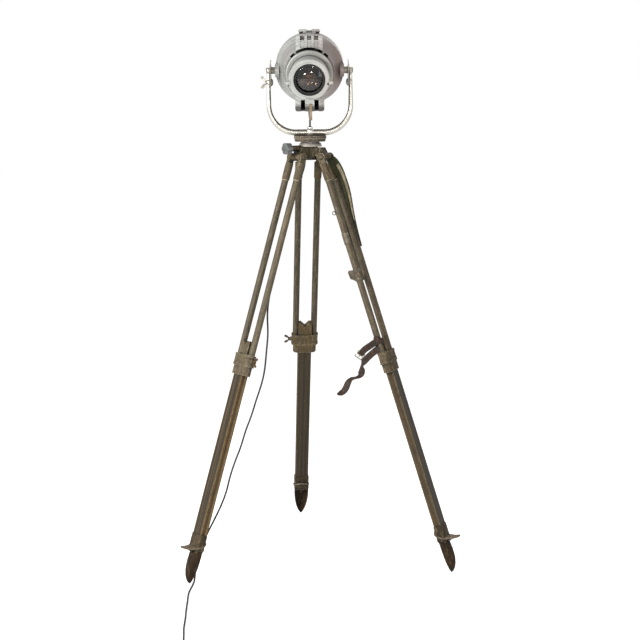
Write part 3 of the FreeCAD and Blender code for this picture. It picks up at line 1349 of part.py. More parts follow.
def lead_clip():
    """Brass strip on the lower ridge that steadies the lead."""
    front = RIDGE_FRONT + CLIP_THICKNESS
    top = -LOWER_RIDGE_RADIUS + CLIP_ON_RIDGE
    bottom = -LOWER_RIDGE_RADIUS - CLIP_BELOW_RIDGE
    return box(CLIP_LEFT, CLIP_LEFT + CLIP_WIDTH, -front, -RIDGE_FRONT, bottom, top)


def lead_entry():
    """Blind hole in the crown's underside; the lead's end sits on its floor."""
    floor = Vector(*STAND_LEAD_ROUTE[0])
    mouth = Vector(floor.x, floor.y, BOSS_BOTTOM - 1)
    return cylinder(CORD_DIAMETER + 2 * GAP, mouth, floor)


# ======================================================================= lead
# Lead down the stand: out of the crown, down inside the left leg, behind its
# shoe and along the floor.  Points chosen by hand.
STAND_LEAD_ROUTE = [
    (-17, 2, 1380),
    (-17, 2, 1352),
    (-31, -15, 1311),
    (-47, -31, 1262),
    (-65, -49, 1205),
    (-85, -64, 1144),
    (-103, -79, 1078),
    (-121, -93, 1010),
    (-136, -111, 942),
    (-147, -134, 872),
    (-143, -160, 806),
    (-149, -179, 748),
    (-154, -200, 692),
    (-166, -202, 642),
    (-184, -200, 592),
    (-200, -205, 540),
    (-221, -209, 489),
    (-236, -216, 438),
    (-256, -214, 390),
    (-274, -223, 338),
    (-285, -231, 291),
    (-304, -232, 243),
    (-327, -235, 197),
    (-351, -232, 151),
    (-372, -239, 104),
    (-386, -248, 64),
    (-391, -258, 29),
    (-391, -289, 7),
    (-396, -332, 3),
    (-402, -390, 3),
    (-398, -462, 3),
    (-395, -540, 3),
    (-390, -618, 3),
    (-388, -694, 3),
    (-381, -764, 3),
    (-377, -826, 3),
    (-377, -874, 3),
]


def biarc(start, start_way, end, end_way):
    """Two arcs from start to end that keep both directions."""
    span = end - start
    ways = start_way + end_way
    bend = 2 * (1 - start_way.dot(end_way))
    reach = (-span.dot(ways) + math.sqrt(span.dot(ways) ** 2 + bend * span.dot(span))) / bend
    joint = (start + end + (start_way - end_way) * reach) * 0.5
    first = arc_through(start, start_way, joint)
    joint_way = first.tangentAt(first.LastParameter)
    return [first, arc_through(joint, joint_way, end)]


def coil_path():
    """Spiral in on the floor, climb a layer, spiral out again, end straight."""
    turns_in = COIL_HALF_TURNS_IN
    turns_out = COIL_HALF_TURNS_OUT
    step = COIL_PITCH / 2
    stations = []
    for index in range(turns_in + 1):
        stations.append((index, COIL_OUTER_RADIUS - step * index, CORD_RADIUS))
    inner = COIL_OUTER_RADIUS - step * turns_in
    for index in range(turns_out + 1):
        stations.append((turns_in + 1 + index, inner + step * index, CORD_RADIUS + COIL_LAYER))
    points = []
    ways = []
    for half_turn, radius, z in stations:
        side = -1 if half_turn % 2 == 0 else 1
        points.append(Vector(COIL_X + side * radius, COIL_Y, z))
        ways.append(Vector(0, side, 0))
    lead_in = points[0] - ways[0] * CORD_DIAMETER
    edges = [Part.LineSegment(lead_in, points[0]).toShape()]
    for index in range(len(points) - 1):
        edges += biarc(points[index], ways[index], points[index + 1], ways[index + 1])
    lead_out = points[-1] + ways[-1] * CORD_DIAMETER
    edges.append(Part.LineSegment(points[-1], lead_out).toShape())
    return Part.Wire(edges), lead_out, ways[-1]


def least_gap_to_itself(path, diameter):
    """Smallest distance between turns, measured on points along the path."""
    spacing = 3.0
    points = path.discretize(Distance=spacing)
    skip = int(40 / spacing)
    least = 1e9
    for index, point in enumerate(points):
        for other in points[index + skip:]:
            least = min(least, point.distanceToPoint(other))
    return least - diameter


def plug(entry, way):
    """Flat two-pin plug lying on the floor, its lead entry at entry."""
    body_start = PLUG_RELIEF_LENGTH
    body_end = body_start + PLUG_LENGTH
    half_height = entry.z
    relief = Part.makeCone(CORD_RADIUS + 0.8, 6.5, PLUG_RELIEF_LENGTH, entry, way)
    half = PLUG_WIDTH / 2
    body = box(entry.x - half, entry.x + half, entry.y - body_end, entry.y - body_start, 0, 2 * half_height)
    edges = [edge for edge in body.Edges if abs(edge.tangentAt(edge.FirstParameter).y) > 0.9]
    body = body.makeFillet(0.4 * half_height, edges)
    pins = []
    for s in (1, -1):
        start = Vector(entry.x + s * PLUG_PIN_SPACING / 2, entry.y - body_end, entry.z)
        pins.append(cylinder(PLUG_PIN_DIAMETER, start, start + way * PLUG_PIN_LENGTH))
    return fused(body, relief, *pins)


def lamp_lead():
    """Short lead from the gland into the hollow bolt; it bends once, over the bolt."""
    mouth, way = gland_end()
    corner = mouth + way * (-mouth.y / way.y)
    end = Vector(0, 0, stud_top() - LEAD_IN_BOLT)
    return swept_round("lamp_lead", rounded_path("lamp_lead", [mouth, corner, end]), CORD_DIAMETER)


# ===================================================== strap, sling, fittings
# Strap from its loop on the right leg to its free end, seen from the front:
# (x, z) from where the loop is.
STRAP_ROUTE = [
    (-6, -1),
    (-35, -20),
    (-58, -36),
    (-62, -58),
    (-54, -78),
    (-56, -98),
    (-64, -113),
    (-79, -119),
    (-95, -124),
    (-106, -139),
    (-113, -158),
    (-124, -169),
    (-140, -174),
]
BUCKLE_AFTER = 2               # the buckle is past this point of the route
# Webbing sling outside the right leg: (out of the leg's plane, down the leg).
SLING_ROUTE = [
    (17, -2),
    (37, 32),
    (46, 80),
    (47, 131),
    (38, 184),
    (28, 236),
    (18, 286),
    (14.8, 330),
]


def outer_half_band(y, down, length, wall):
    """Half ring on the outward side of a tube, clear of the bar between the tubes."""
    low = leg_point(0, y, down + length / 2)
    band = tube(TUBE_DIAMETER + 2 * wall, TUBE_DIAMETER + GAP, low, low + Z_AXIS * length)
    outward = 1 if y > 0 else -1
    y0, y1 = sorted((y + outward * 2, y + outward * 60))
    return band.common(box(-60, 60, y0, y1, -down - length, -down + length))


def strap_loop():
    """Where the strap's loop is on the near tube's middle line."""
    return on_leg("right", Part.Vertex(leg_point(0, -HALF_SPACING, STRAP_DOWN))).Point


def strap_points():
    return [strap_loop() + Vector(x, 0, z) for x, z in STRAP_ROUTE]


def leather_strap():
    """Strap looped on the near tube of the right leg, hanging through its buckle."""
    path = rounded_path("leather_strap", strap_points())
    band = ribbon(path, STRAP_WIDTH, STRAP_THICKNESS, Y_AXIS)
    loop = on_leg("right", outer_half_band(-HALF_SPACING, STRAP_DOWN, STRAP_WIDTH, STRAP_THICKNESS))
    inside_tube = on_leg("right", leg_cores())
    return band.fuse(loop).cut(inside_tube)


def leg_cores():
    """Both tubes of a leg as full rods, with room for what is wrapped on them."""
    foot = leg_point(0, HALF_SPACING, LEG_LENGTH)
    rod = cylinder(TUBE_DIAMETER + GAP, foot, foot + Z_AXIS * LEG_LENGTH)
    other = rod.copy()
    other.translate(Y_AXIS * -TUBE_SPACING)
    return rod.fuse(other)


def strap_buckle():
    """Frame that the strap passes through."""
    points = strap_points()
    x, y, z = (points[BUCKLE_AFTER] + points[BUCKLE_AFTER + 1]) * 0.5
    inner_x = STRAP_THICKNESS / 2 + BUCKLE_FACE_GAP
    inner_y = STRAP_WIDTH / 2 + BUCKLE_SIDE_GAP
    outer_x = inner_x + BUCKLE_WIRE
    outer_y = inner_y + BUCKLE_WIRE
    half = BUCKLE_HEIGHT / 2
    frame = box(x - outer_x, x + outer_x, y - outer_y, y + outer_y, z - half, z + half)
    return frame.cut(box(x - inner_x, x + inner_x, y - inner_y, y + inner_y, z - half - 1, z + half + 1))


def webbing_sling():
    """Carrying sling that bulges off the outside of the right leg."""
    path = rounded_path("webbing_sling", [leg_point(x, SLING_CENTRE, down) for x, down in SLING_ROUTE])
    return ribbon(path, SLING_WIDTH, SLING_THICKNESS, Y_AXIS)


def sling_fittings():
    """Band and eyelet on the near tube of the right leg."""
    y = -HALF_SPACING
    band = outer_half_band(y, FITTING_BAND_DOWN, FITTING_BAND_LENGTH, FITTING_BAND_WALL)
    reach = (TUBE_RADIUS + EYELET_RADIUS - EYELET_WIRE / 2) * math.sqrt(0.5)
    centre = leg_point(-reach, y - reach, EYELET_DOWN)
    eyelet = Part.makeTorus(EYELET_RADIUS, EYELET_WIRE / 2, centre, Vector(1, -1, 0))
    foot = outer_half_band(y, EYELET_DOWN, 10, FITTING_BAND_WALL)
    return group(band, eyelet.fuse(foot).cut(leg_cores()))


def write_stand():
    save("crown", crown())
    save("leg_hinge_pins", group(*[around_head(name, hinge_pin()) for name in LEG_NAMES]))
    save("collar", collar())
    save("pan_lock_spindle", around_head("left", spindle()))
    save("star_knob", around_head("left", star_knob()))
    sockets = leg_sockets()
    tubes = leg_tubes()
    casting = clamp_casting()
    screw = clamp_screw()
    bar = lower_bar()
    guide = bar_guide()
    foot = shoe()
    for name in LEG_NAMES:
        save("leg_sockets_" + name, on_leg(name, sockets))
        save("leg_tubes_" + name, on_leg(name, tubes))
        save("clamp_casting_" + name, on_leg(name, casting))
        save("clamp_screw_" + name, on_leg(name, screw))
        save("lower_bar_" + name, on_leg(name, bar))
        save("bar_guide_" + name, on_leg(name, guide))
        save("shoe_" + name, on_leg(name, foot))
    save("leather_strap", leather_strap())
    save("strap_buckle", strap_buckle())
    save("webbing_sling", on_leg("right", webbing_sling()))
    save("sling_fittings", on_leg("right", sling_fittings()))


def write_yoke():
    save("turntable_disc", turntable_disc())
    save("pan_spigot", pan_spigot())
    save("yoke", yoke())
    save("yoke_nut", yoke_nut())
    save("tilt_lock_bolts", group(mirrored(lock_bolt()), plain_lock_bolt()))
    save("tilt_wing_nut", tilt_wing_nut())


def write_lamp():
    pieces = {
        "lamp_housing": lamp_housing(),
        "gate_flange": gate_flange(),
        "gate_plate": gate_plate(),
        "lens_sleeve": lens_sleeve(),
        "lens_tube": lens_tube(),
        "lens": lens(),
        "lens_ring": lens_ring(),
        "focus_screw": focus_screw(),
        "quadrant_plates": quadrant_plates(),
        "trunnion_spacers": trunnion_spacers(),
        "trunnion_bolts": trunnion_bolts(),
        "rear_cover": rear_cover(),
        "cover_pin": cover_pin(),
        "cover_screw": cover_screw(),
        "lamp_tray": lamp_tray(),
        "lampholder": lampholder(),
        "bulb": bulb(),
        "reflector": reflector(),
        "cord_gland": gland_shape(),
        "lead_clip": lead_clip(),
    }
    for name, shape in pieces.items():
        save(name, on_lamp(shape))


def write_lead():
    save("lamp_lead", lamp_lead())
    route = [Vector(*point) for point in STAND_LEAD_ROUTE]
    save("stand_lead", swept_round("stand_lead", rounded_path("stand_lead", route), CORD_DIAMETER))
    path, coil_end, way = coil_path()
    save("lead_coil", swept_round("lead_coil", path, CORD_DIAMETER))
    print("coil's least gap to itself", round(least_gap_to_itself(path, CORD_DIAMETER), 2), "mm")
    save("plug", plug(coil_end, way))


write_stand()
write_yoke()
write_lamp()
write_lead()
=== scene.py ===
"""Looks of the tripod spotlight: finishes, rounded castings, cords and straps,
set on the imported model.  Metres, in the model's own frame: +Z up, the lamp
faces -Y, the origin is on the floor under the pan axis."""
import bmesh
import bpy
import json
from math import cos, pi, radians, sin, sqrt, tan
from mathutils import Matrix, Vector

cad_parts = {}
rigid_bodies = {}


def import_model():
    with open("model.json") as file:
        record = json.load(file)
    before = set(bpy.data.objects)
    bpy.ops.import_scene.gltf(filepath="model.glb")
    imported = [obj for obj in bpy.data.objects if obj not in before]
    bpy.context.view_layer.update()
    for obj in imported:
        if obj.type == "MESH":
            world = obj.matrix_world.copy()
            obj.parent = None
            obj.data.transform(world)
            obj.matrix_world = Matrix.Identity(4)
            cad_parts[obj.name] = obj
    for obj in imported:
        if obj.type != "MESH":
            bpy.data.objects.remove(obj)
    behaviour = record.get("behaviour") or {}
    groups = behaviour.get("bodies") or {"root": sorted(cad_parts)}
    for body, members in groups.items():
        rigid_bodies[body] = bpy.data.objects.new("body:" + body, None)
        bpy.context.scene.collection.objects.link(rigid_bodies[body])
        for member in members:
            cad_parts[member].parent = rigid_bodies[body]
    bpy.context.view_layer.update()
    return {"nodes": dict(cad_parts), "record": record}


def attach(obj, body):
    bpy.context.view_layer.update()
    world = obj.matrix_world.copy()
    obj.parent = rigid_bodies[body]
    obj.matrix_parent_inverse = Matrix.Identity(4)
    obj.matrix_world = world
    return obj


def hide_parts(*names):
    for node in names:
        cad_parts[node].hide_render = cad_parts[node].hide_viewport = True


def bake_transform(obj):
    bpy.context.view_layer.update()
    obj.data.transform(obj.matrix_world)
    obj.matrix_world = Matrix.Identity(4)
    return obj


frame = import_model()
scene = bpy.context.scene
MM = 0.001

# ---- camera
PHOTO_PIXELS = 640
FOCAL_PIXELS = 1382.0
SENSOR_MM = 36.0
CAMERA_AT = (0.0275, -4.640, 1.530)
CAMERA_DOWN = 8.64
CAMERA_ROLL = -0.5


def add_camera():
    lens = bpy.data.cameras.new("camera")
    lens.sensor_width = SENSOR_MM
    lens.lens = SENSOR_MM * FOCAL_PIXELS / PHOTO_PIXELS
    camera = bpy.data.objects.new("camera", lens)
    scene.collection.objects.link(camera)
    pitch = Matrix.Rotation(radians(90 - CAMERA_DOWN), 4, "X")
    roll = Matrix.Rotation(radians(CAMERA_ROLL), 4, "Z")
    camera.matrix_world = Matrix.Translation(CAMERA_AT) @ pitch @ roll
    scene.camera = camera


add_camera()

# ---- places shared with the CAD
HINGE_HEIGHT = 1.376180
HINGE_RADIUS = 0.055
LEG_LEAN = radians(18.4)
LEG_AZIMUTHS = {"left": 216.0, "back": 96.0, "right": -24.0}
TUBE_Y = 0.0325
TUBE_RADIUS = 0.011
DISC_TOP = 1.445480
TILT_HEIGHT = 1.660480
LAMP_TILT = radians(12.7)

LAMP = Matrix.Translation((0, 0, TILT_HEIGHT)) @ Matrix.Rotation(LAMP_TILT, 4, "X")


def leg_frame(name):
    """x outward, y along the hinge, z up the leg from its hinge."""
    turn = Matrix.Rotation(radians(LEG_AZIMUTHS[name]), 4, "Z")
    lean = Matrix.Rotation(-LEG_LEAN, 4, "Y")
    return turn @ Matrix.Translation((HINGE_RADIUS, 0, HINGE_HEIGHT)) @ lean


# ---- mesh helpers
def new_object(name, data):
    piece = bpy.data.objects.new(name, data)
    scene.collection.objects.link(piece)
    return piece


def from_bmesh(name, bm, smooth=True):
    mesh = bpy.data.meshes.new(name)
    for face in bm.faces:
        face.smooth = smooth
    bm.to_mesh(mesh)
    bm.free()
    return new_object(name, mesh)


def outward(bm):
    bmesh.ops.remove_doubles(bm, verts=bm.verts, dist=1e-6)
    bmesh.ops.recalc_face_normals(bm, faces=bm.faces)


def settle(piece, material, body, *nodes, slot=None):
    """Give a piece its material, body and the nodes it stands for; the slot argument is not used.
    """
    piece.data.materials.clear()
    piece.data.materials.append(material)
    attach(piece, body)
    if nodes:
        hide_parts(*nodes)
    return piece


SOFT_EDGE = 0.0007


def closed_piece(name, bm, material, body, *nodes, slot=None, soft=False):
    """Settled piece out of closed shells; soft takes the sharpness off its edges."""
    outward(bm)
    piece = from_bmesh(name, bm)
    if soft:
        edge = piece.modifiers.new("round", "BEVEL")
        edge.width = SOFT_EDGE
        edge.limit_method = "ANGLE"
        edge.angle_limit = radians(40)
    return settle(piece, material, body, *nodes, slot=slot)


def plain_mesh(piece, name):
    """Smooth mesh of a piece as its modifiers leave it; it takes the piece's place."""
    bpy.context.view_layer.update()
    ready = piece.evaluated_get(bpy.context.evaluated_depsgraph_get())
    mesh = bpy.data.meshes.new_from_object(ready)
    bpy.data.objects.remove(piece)
    mesh.name = name
    for polygon in mesh.polygons:
        polygon.use_smooth = True
    return mesh


# ---- cords and their routes, in millimetres
LEAD_RADIUS = 0.003
LEAD_ROUNDNESS = 6             # bevel resolution of a cord
STAND_LEAD_ROUTE = [
    (-17, 2, 1380), (-17, 2, 1352), (-31, -15, 1311), (-47, -31, 1262), (-65, -49, 1205),
    (-85, -64, 1144), (-103, -79, 1078), (-121, -93, 1010), (-136, -111, 942),
    (-147, -134, 872), (-143, -160, 806), (-149, -179, 748), (-154, -200, 692),
    (-166, -202, 642), (-184, -200, 592), (-200, -205, 540), (-221, -209, 489),
    (-236, -216, 438), (-256, -214, 390), (-274, -223, 338), (-285, -231, 291),
    (-304, -232, 243), (-327, -235, 197), (-351, -232, 151), (-372, -239, 104),
    (-386, -248, 64), (-391, -258, 29), (-391, -289, 7), (-396, -332, 3),
    (-402, -390, 3), (-398, -462, 3), (-395, -540, 3), (-390, -618, 3),
    (-388, -694, 3), (-381, -764, 3), (-377, -826, 3), (-377, -874, 3),
]
COIL_CENTRE = (-335, -880)
COIL_OUTER_RADIUS = 42.0
COIL_STEP = 3.85               # radius per half turn
COIL_HALF_TURNS_IN = 4
COIL_HALF_TURNS_OUT = 5
COIL_LAYER = 6.6
COIL_POINTS_PER_TURN = 16
LEAD_OUT = 6.0                 # straight end in front of the plug


def coil_points():
    """Turns of the put-away coil: inwards on the floor, then outwards one layer up."""
    per_half = COIL_POINTS_PER_TURN // 2
    last = COIL_HALF_TURNS_IN + 1 + COIL_HALF_TURNS_OUT
    inner = COIL_OUTER_RADIUS - COIL_STEP * COIL_HALF_TURNS_IN
    spline_pull = 1 / cos(pi / COIL_POINTS_PER_TURN)
    points = []
    for index in range(1, last * per_half + 1):
        half_turns = index / per_half
        climb = min(max(half_turns - COIL_HALF_TURNS_IN, 0), 1)
        if half_turns <= COIL_HALF_TURNS_IN:
            radius = COIL_OUTER_RADIUS - COIL_STEP * half_turns
        else:
            radius = inner + COIL_STEP * max(half_turns - COIL_HALF_TURNS_IN - 1, 0)
        angle = pi * (1 + half_turns)
        x = COIL_CENTRE[0] + radius * spline_pull * cos(angle)
        y = COIL_CENTRE[1] + radius * spline_pull * sin(angle)
        points.append((x, y, LEAD_RADIUS / MM + COIL_LAYER * climb))
    x, y, z = points[-1]
    return points + [(x, y - LEAD_OUT, z)]


def route_curve(name, points):
    """Open NURBS curve through control points in millimetres."""
    curve = bpy.data.curves.new(name, "CURVE")
    curve.dimensions = "3D"
    spline = curve.splines.new("NURBS")
    spline.points.add(len(points) - 1)
    for control, point in zip(spline.points, points):
        control.co = (point[0] * MM, point[1] * MM, point[2] * MM, 1)
    spline.order_u = 3
    spline.use_endpoint_u = True
    spline.resolution_u = 6
    curve.use_fill_caps = True
    return curve


def cord_mesh(name, points):
    """Mesh tube on the route's own spline, and the points that it follows."""
    curve = route_curve(name, points)
    line = new_object(name + "_line", curve)
    path = [vertex.co.copy() for vertex in bpy.data.meshes.new_from_object(line).vertices]
    curve.bevel_depth = LEAD_RADIUS
    curve.bevel_resolution = LEAD_ROUNDNESS
    tube = plain_mesh(line, name)
    bm = bmesh.new()
    bm.from_mesh(tube)
    outward(bm)
    bm.to_mesh(tube)
    bm.free()
    return new_object(name, tube), path


stand_cord, stand_path = cord_mesh("stand_cord", STAND_LEAD_ROUTE + coil_points())

GLAND_MOUTH = LAMP @ Vector((0, -0.038, -0.1495))
GLAND_WAY = LAMP.to_3x3() @ Vector((0, 0, -1))
BOLT_END = Vector((0, 0, DISC_TOP + 0.020))
LAMP_LEAD_ROUTE = [
    GLAND_MOUTH / MM,
    (GLAND_MOUTH + GLAND_WAY * 0.014) / MM,
    Vector((0, GLAND_MOUTH.y * 0.16, BOLT_END.z + 0.024)) / MM,
    Vector((0, 0, BOLT_END.z + 0.014)) / MM,
    BOLT_END / MM,
]
lamp_cord, lamp_path = cord_mesh("lamp_cord", LAMP_LEAD_ROUTE)


# ---- node helpers
class Wiring:
    """Adds nodes to one tree.  Inputs take plain values or other nodes' sockets."""

    def __init__(self, tree):
        self.tree = tree

    def fill(self, node, inputs):
        """Set a node's inputs, keyed by name or number."""
        for key, value in inputs.items():
            if isinstance(value, bpy.types.NodeSocket):
                self.tree.links.new(value, node.inputs[key])
            else:
                node.inputs[key].default_value = value
        return node

    def add(self, kind, inputs=None, **settings):
        made = self.tree.nodes.new(kind)
        for key, value in settings.items():
            setattr(made, key, value)
        return self.fill(made, inputs or {})

    def math(self, operation, a, b=0.0, clamp=False):
        inputs = {0: a, 1: b}
        return self.add("ShaderNodeMath", inputs, operation=operation, use_clamp=clamp).outputs[0]

    def plus(self, a, b):
        return self.math("ADD", a, b)

    def minus(self, a, b):
        return self.math("SUBTRACT", a, b)

    def times(self, a, b, clamp=False):
        return self.math("MULTIPLY", a, b, clamp)

    def vector(self, operation, *vectors):
        """Vector math; a length and a dot product are numbers."""
        made = self.add("ShaderNodeVectorMath", dict(enumerate(vectors)), operation=operation)
        return made.outputs["Value" if operation in ("LENGTH", "DOT_PRODUCT") else "Vector"]

    def mix(self, mask, a, b):
        """Colour mix of a and b by a mask."""
        return self.add("ShaderNodeMix", {0: mask, 6: a, 7: b}, data_type="RGBA").outputs[2]

    def map(self, value, low, high, to_low=0.0, to_high=1.0):
        """Smooth step of a value from one range to another."""
        inputs = {0: value, 1: low, 2: high, 3: to_low, 4: to_high}
        return self.add("ShaderNodeMapRange", inputs, interpolation_type="SMOOTHSTEP").outputs[0]

    def between(self, mask, a, b):
        """Number that goes smoothly from a to b as the mask goes from 0 to 1."""
        return self.map(mask, 0.0, 1.0, a, b)

    def noise(self, vector, scale, detail, roughness=0.5):
        inputs = {"Vector": vector, "Scale": scale, "Detail": detail, "Roughness": roughness}
        return self.add("ShaderNodeTexNoise", inputs).outputs[0]


def node_group(inputs, outputs=("Mask",)):
    """Turn a function that wires a node group into one that places the group.
    inputs has a number for each float and None for each vector."""
    def make(wire):
        group = bpy.data.node_groups.new(wire.__name__, "ShaderNodeTree")
        for label, default in inputs.items():
            kind = "NodeSocketVector" if default is None else "NodeSocketFloat"
            socket = group.interface.new_socket(label, in_out="INPUT", socket_type=kind)
            if default is not None:
                socket.default_value = default
        for label in outputs:
            group.interface.new_socket(label, in_out="OUTPUT", socket_type="NodeSocketFloat")
        inner = Wiring(group)
        given = list(inner.add("NodeGroupInput").outputs)[:len(inputs)]
        inner.add("NodeGroupOutput", dict(zip(outputs, wire(inner, *given))))

        def place(w, *values):
            made = w.add("ShaderNodeGroup", dict(enumerate(values)), node_tree=group)
            return made.outputs[0] if len(outputs) == 1 else tuple(made.outputs)
        return place
    return make


@node_group({"Vector": None, "Scale": 20.0, "Cover": 0.5, "Softness": 0.08, "Detail": 5.0})
def blotches(w, vector, scale, cover, softness, detail):
    """Soft irregular patches: 1 inside a patch, 0 outside."""
    edge = w.minus(0.78, w.times(cover, 0.56))
    low = w.minus(edge, softness)
    high = w.plus(edge, softness)
    return (w.map(w.noise(vector, scale, detail, 0.62), low, high),)


@node_group({"Vector": None, "Width": 0.002, "Amount": 0.5})
def edge_wear(w, vector, width, amount):
    """Rubbed edges, broken up by noise: 1 on a worn edge."""
    rounded = w.add("ShaderNodeBevel", {"Radius": width}, samples=6).outputs[0]
    flat = w.add("ShaderNodeNewGeometry").outputs["Normal"]
    edge = w.map(w.vector("DOT_PRODUCT", rounded, flat), 0.995, 0.86)
    broken = w.times(edge, w.map(w.noise(vector, 90.0, 4.0), 0.30, 0.62))
    return (w.times(broken, w.times(amount, 2.0), True),)


@node_group({"Vector": None, "Stretch": None, "Scale": 400.0, "Cover": 0.3}, ("Mask", "Height"))
def scratches(w, vector, stretch, scale, cover):
    """Fine lines along the stretched direction of the vector: 1 on a scratch."""
    height = w.noise(w.vector("MULTIPLY", vector, stretch), scale, 3.0, 0.7)
    edge = w.minus(0.75, w.times(cover, 0.5))
    return w.map(height, edge, w.plus(edge, 0.07)), height


@node_group({"Distance": 0.02, "Amount": 0.7})
def hollow_dirt(w, distance, amount):
    """Dirt and painted shade in corners and hollows, from ambient occlusion: 1 where it is deepest.
    """
    hollow = w.add("ShaderNodeAmbientOcclusion", {"Distance": distance}, samples=6)
    return (w.times(w.map(hollow.outputs["AO"], 0.92, 0.35), amount, True),)


@node_group({"Vector": None, "Scale": 600.0}, ("Height",))
def cast_grain(w, vector, scale):
    """Height of a sand-cast skin: fine grain on shallow lumps."""
    lumps = w.noise(vector, w.times(scale, 0.13), 2.0)
    fine = w.times(w.noise(vector, scale, 4.0), 0.45)
    return (w.plus(fine, lumps),)


def srgb(tone):
    """Linear colour of an 8-bit screen colour."""
    shares = [value / 255 for value in tone]
    return (*(s / 12.92 if s <= 0.04045 else ((s + 0.055) / 1.055) ** 2.4 for s in shares), 1.0)


def new_material(name):
    """Material, the wiring of its tree and its shader."""
    material = bpy.data.materials.new(name)
    material.use_nodes = True
    return material, Wiring(material.node_tree), material.node_tree.nodes["Principled BSDF"]


def turned(w, vector, turn):
    """A vector in the directions of a turned frame."""
    euler = turn.to_3x3().inverted().to_euler("XYZ")
    return w.add("ShaderNodeMapping", {"Vector": vector, "Rotation": euler}).outputs[0]


def object_coords(w, turn=None):
    """Object coordinates, optionally turned so that z runs along a piece."""
    coords = w.add("ShaderNodeTexCoord").outputs["Object"]
    return coords if turn is None else turned(w, coords, turn)


def coated(w, tone, *coats):
    """A tone under coats of (mask, strength, tone), the last one on top."""
    colour = srgb(tone)
    for mask, strength, coat in coats:
        share = mask if strength == 1 else w.times(mask, strength)
        colour = w.mix(share, colour, srgb(coat))
    return colour


def finish_shader(w, shader, colour, roughness, metallic, height, strength, distance):
    """Join colour, roughness, metal share and a bump of that height to the shader."""
    bump = w.add("ShaderNodeBump", {"Strength": strength, "Distance": distance, "Height": height})
    w.fill(shader, {"Base Color": colour, "Roughness": roughness, "Metallic": metallic,
                    "Normal": bump.outputs[0]})


# ---- materials
PAINT_SHINE = 0.28
# colours of dirt with painted shade in hollows, and of painted shade on faces that look down
DEEP_DIRT_AND_SHADE, UNDERSIDE_SHADE = (26, 22, 16), (22, 19, 14)


def worn_paint(name, tones, turn=None, patches=0.35, edges=0.6, metal=0.0, rough=(0.55, 0.8),
               scale=1.0, dirt=0.6, lines=0.35, reach=0.016, shine=PAINT_SHINE, grain_length=1.0):
    """Old paint: two tones, rubbed patches, long scratches, bare edges, dirt with painted shade in
    corners, and painted shade on faces that look down.
    tones are of the paint, its shade, rubbed places and bare edges."""
    paint, shade, rubbed, bare = tones
    material, w, shader = new_material(name)
    shader.inputs["Specular IOR Level"].default_value = shine
    coords = object_coords(w, turn)
    drawn = w.vector("MULTIPLY", coords, (1, 1, grain_length))
    long_way = w.vector("MULTIPLY", coords, (1, 1, 0.3))
    tone = blotches(w, drawn, 26.0 * scale, 0.5, 0.2)
    worn = blotches(w, long_way, 130.0 * scale, patches, 0.09, 8.0)
    scratched, _ = scratches(w, coords, (1, 1, 0.05), 420.0 * scale, lines)
    edge = edge_wear(w, coords, 0.0018, edges)
    facing = w.add("ShaderNodeNewGeometry").outputs["Normal"]
    facing_up = w.add("ShaderNodeSeparateXYZ", {0: facing}).outputs["Z"]
    # the last two coats are painted shade: darkening in hollows (partly dirt) and on faces that
    # look down
    colour = coated(
        w, paint, (tone, 1, shade), (worn, 0.55, rubbed), (scratched, 0.35, rubbed),
        (edge, 1, bare), (hollow_dirt(w, reach, dirt), 1, DEEP_DIRT_AND_SHADE),
        (w.map(facing_up, -0.05, -0.8, 0.0, 0.75), 1, UNDERSIDE_SHADE))
    smooth = w.math("MAXIMUM", edge, worn)
    grain = cast_grain(w, coords, 420.0 * scale)
    finish_shader(w, shader, colour, w.between(smooth, rough[1], rough[0]),
                  w.times(edge, metal) if metal else 0.0,
                  w.minus(grain, w.times(worn, 0.35)), 0.35, 0.0012)
    return material


def striped_bar(name, face, dark, gold, turn):
    """Painted wooden bar: long dark and golden grain, golden flats beside the grooves, and dirt
    with painted shade in its hollows.
    """
    material, w, shader = new_material(name)
    shader.inputs["Specular IOR Level"].default_value = PAINT_SHINE
    coords = object_coords(w, turn)
    grain, height = scratches(w, coords, (1, 1, 0.012), 130.0, 0.55)
    light, _ = scratches(w, coords, (1, 1, 0.02), 240.0, 0.3)
    patch = blotches(w, coords, 30.0, 0.45, 0.18)
    chips = blotches(w, coords, 150.0, 0.2, 0.05)
    middle = (turn.to_3x3().inverted() @ turn.translation).y
    across = w.add("ShaderNodeSeparateXYZ", {0: coords}).outputs["Y"]
    side = w.math("ABSOLUTE", w.minus(across, middle))
    flat = w.times(w.map(side, BAR_HALF_WIDTH - 0.0045, BAR_HALF_WIDTH - 0.0015),
                   w.between(patch, 1.0, 0.45))
    # the last coat is dirt with painted shade in hollows
    colour = coated(
        w, face, (grain, 1, dark), (light, 0.5, gold), (flat, 1, gold),
        (chips, 0.3, (150, 134, 104)),
        (edge_wear(w, coords, 0.0016, 0.7), 1, (176, 152, 108)),
        (hollow_dirt(w, 0.014, 0.85), 1, (30, 24, 16)))
    finish_shader(w, shader, colour, w.map(height, 0.3, 0.7, 0.5, 0.75), 0.0, height, 0.3, 0.001)
    return material


def old_metal(name, base, stain, metallic, rough=(0.3, 0.5), stained=0.4, grain=0.15, bright=None):
    """Bare metal with stains, fine marks, and dirt with painted shade in its corners."""
    material, w, shader = new_material(name)
    coords = object_coords(w)
    spots = blotches(w, coords, 38.0, stained, 0.14)
    _, marks = scratches(w, coords, (1, 0.12, 1), 260.0, 0.4)
    dirty_and_shaded = hollow_dirt(w, 0.012, 0.6)
    colour = coated(
        w, base, (spots, 0.7, stain), (edge_wear(w, coords, 0.0014, 0.4), 1, bright or base),
        (dirty_and_shaded, 1, (34, 29, 23)))
    height = w.plus(cast_grain(w, coords, 500.0), w.times(marks, 0.4))
    finish_shader(w, shader, colour, w.between(spots, *rough), w.between(dirty_and_shaded, metallic, 0.0),
                  height, grain, 0.001)
    return material


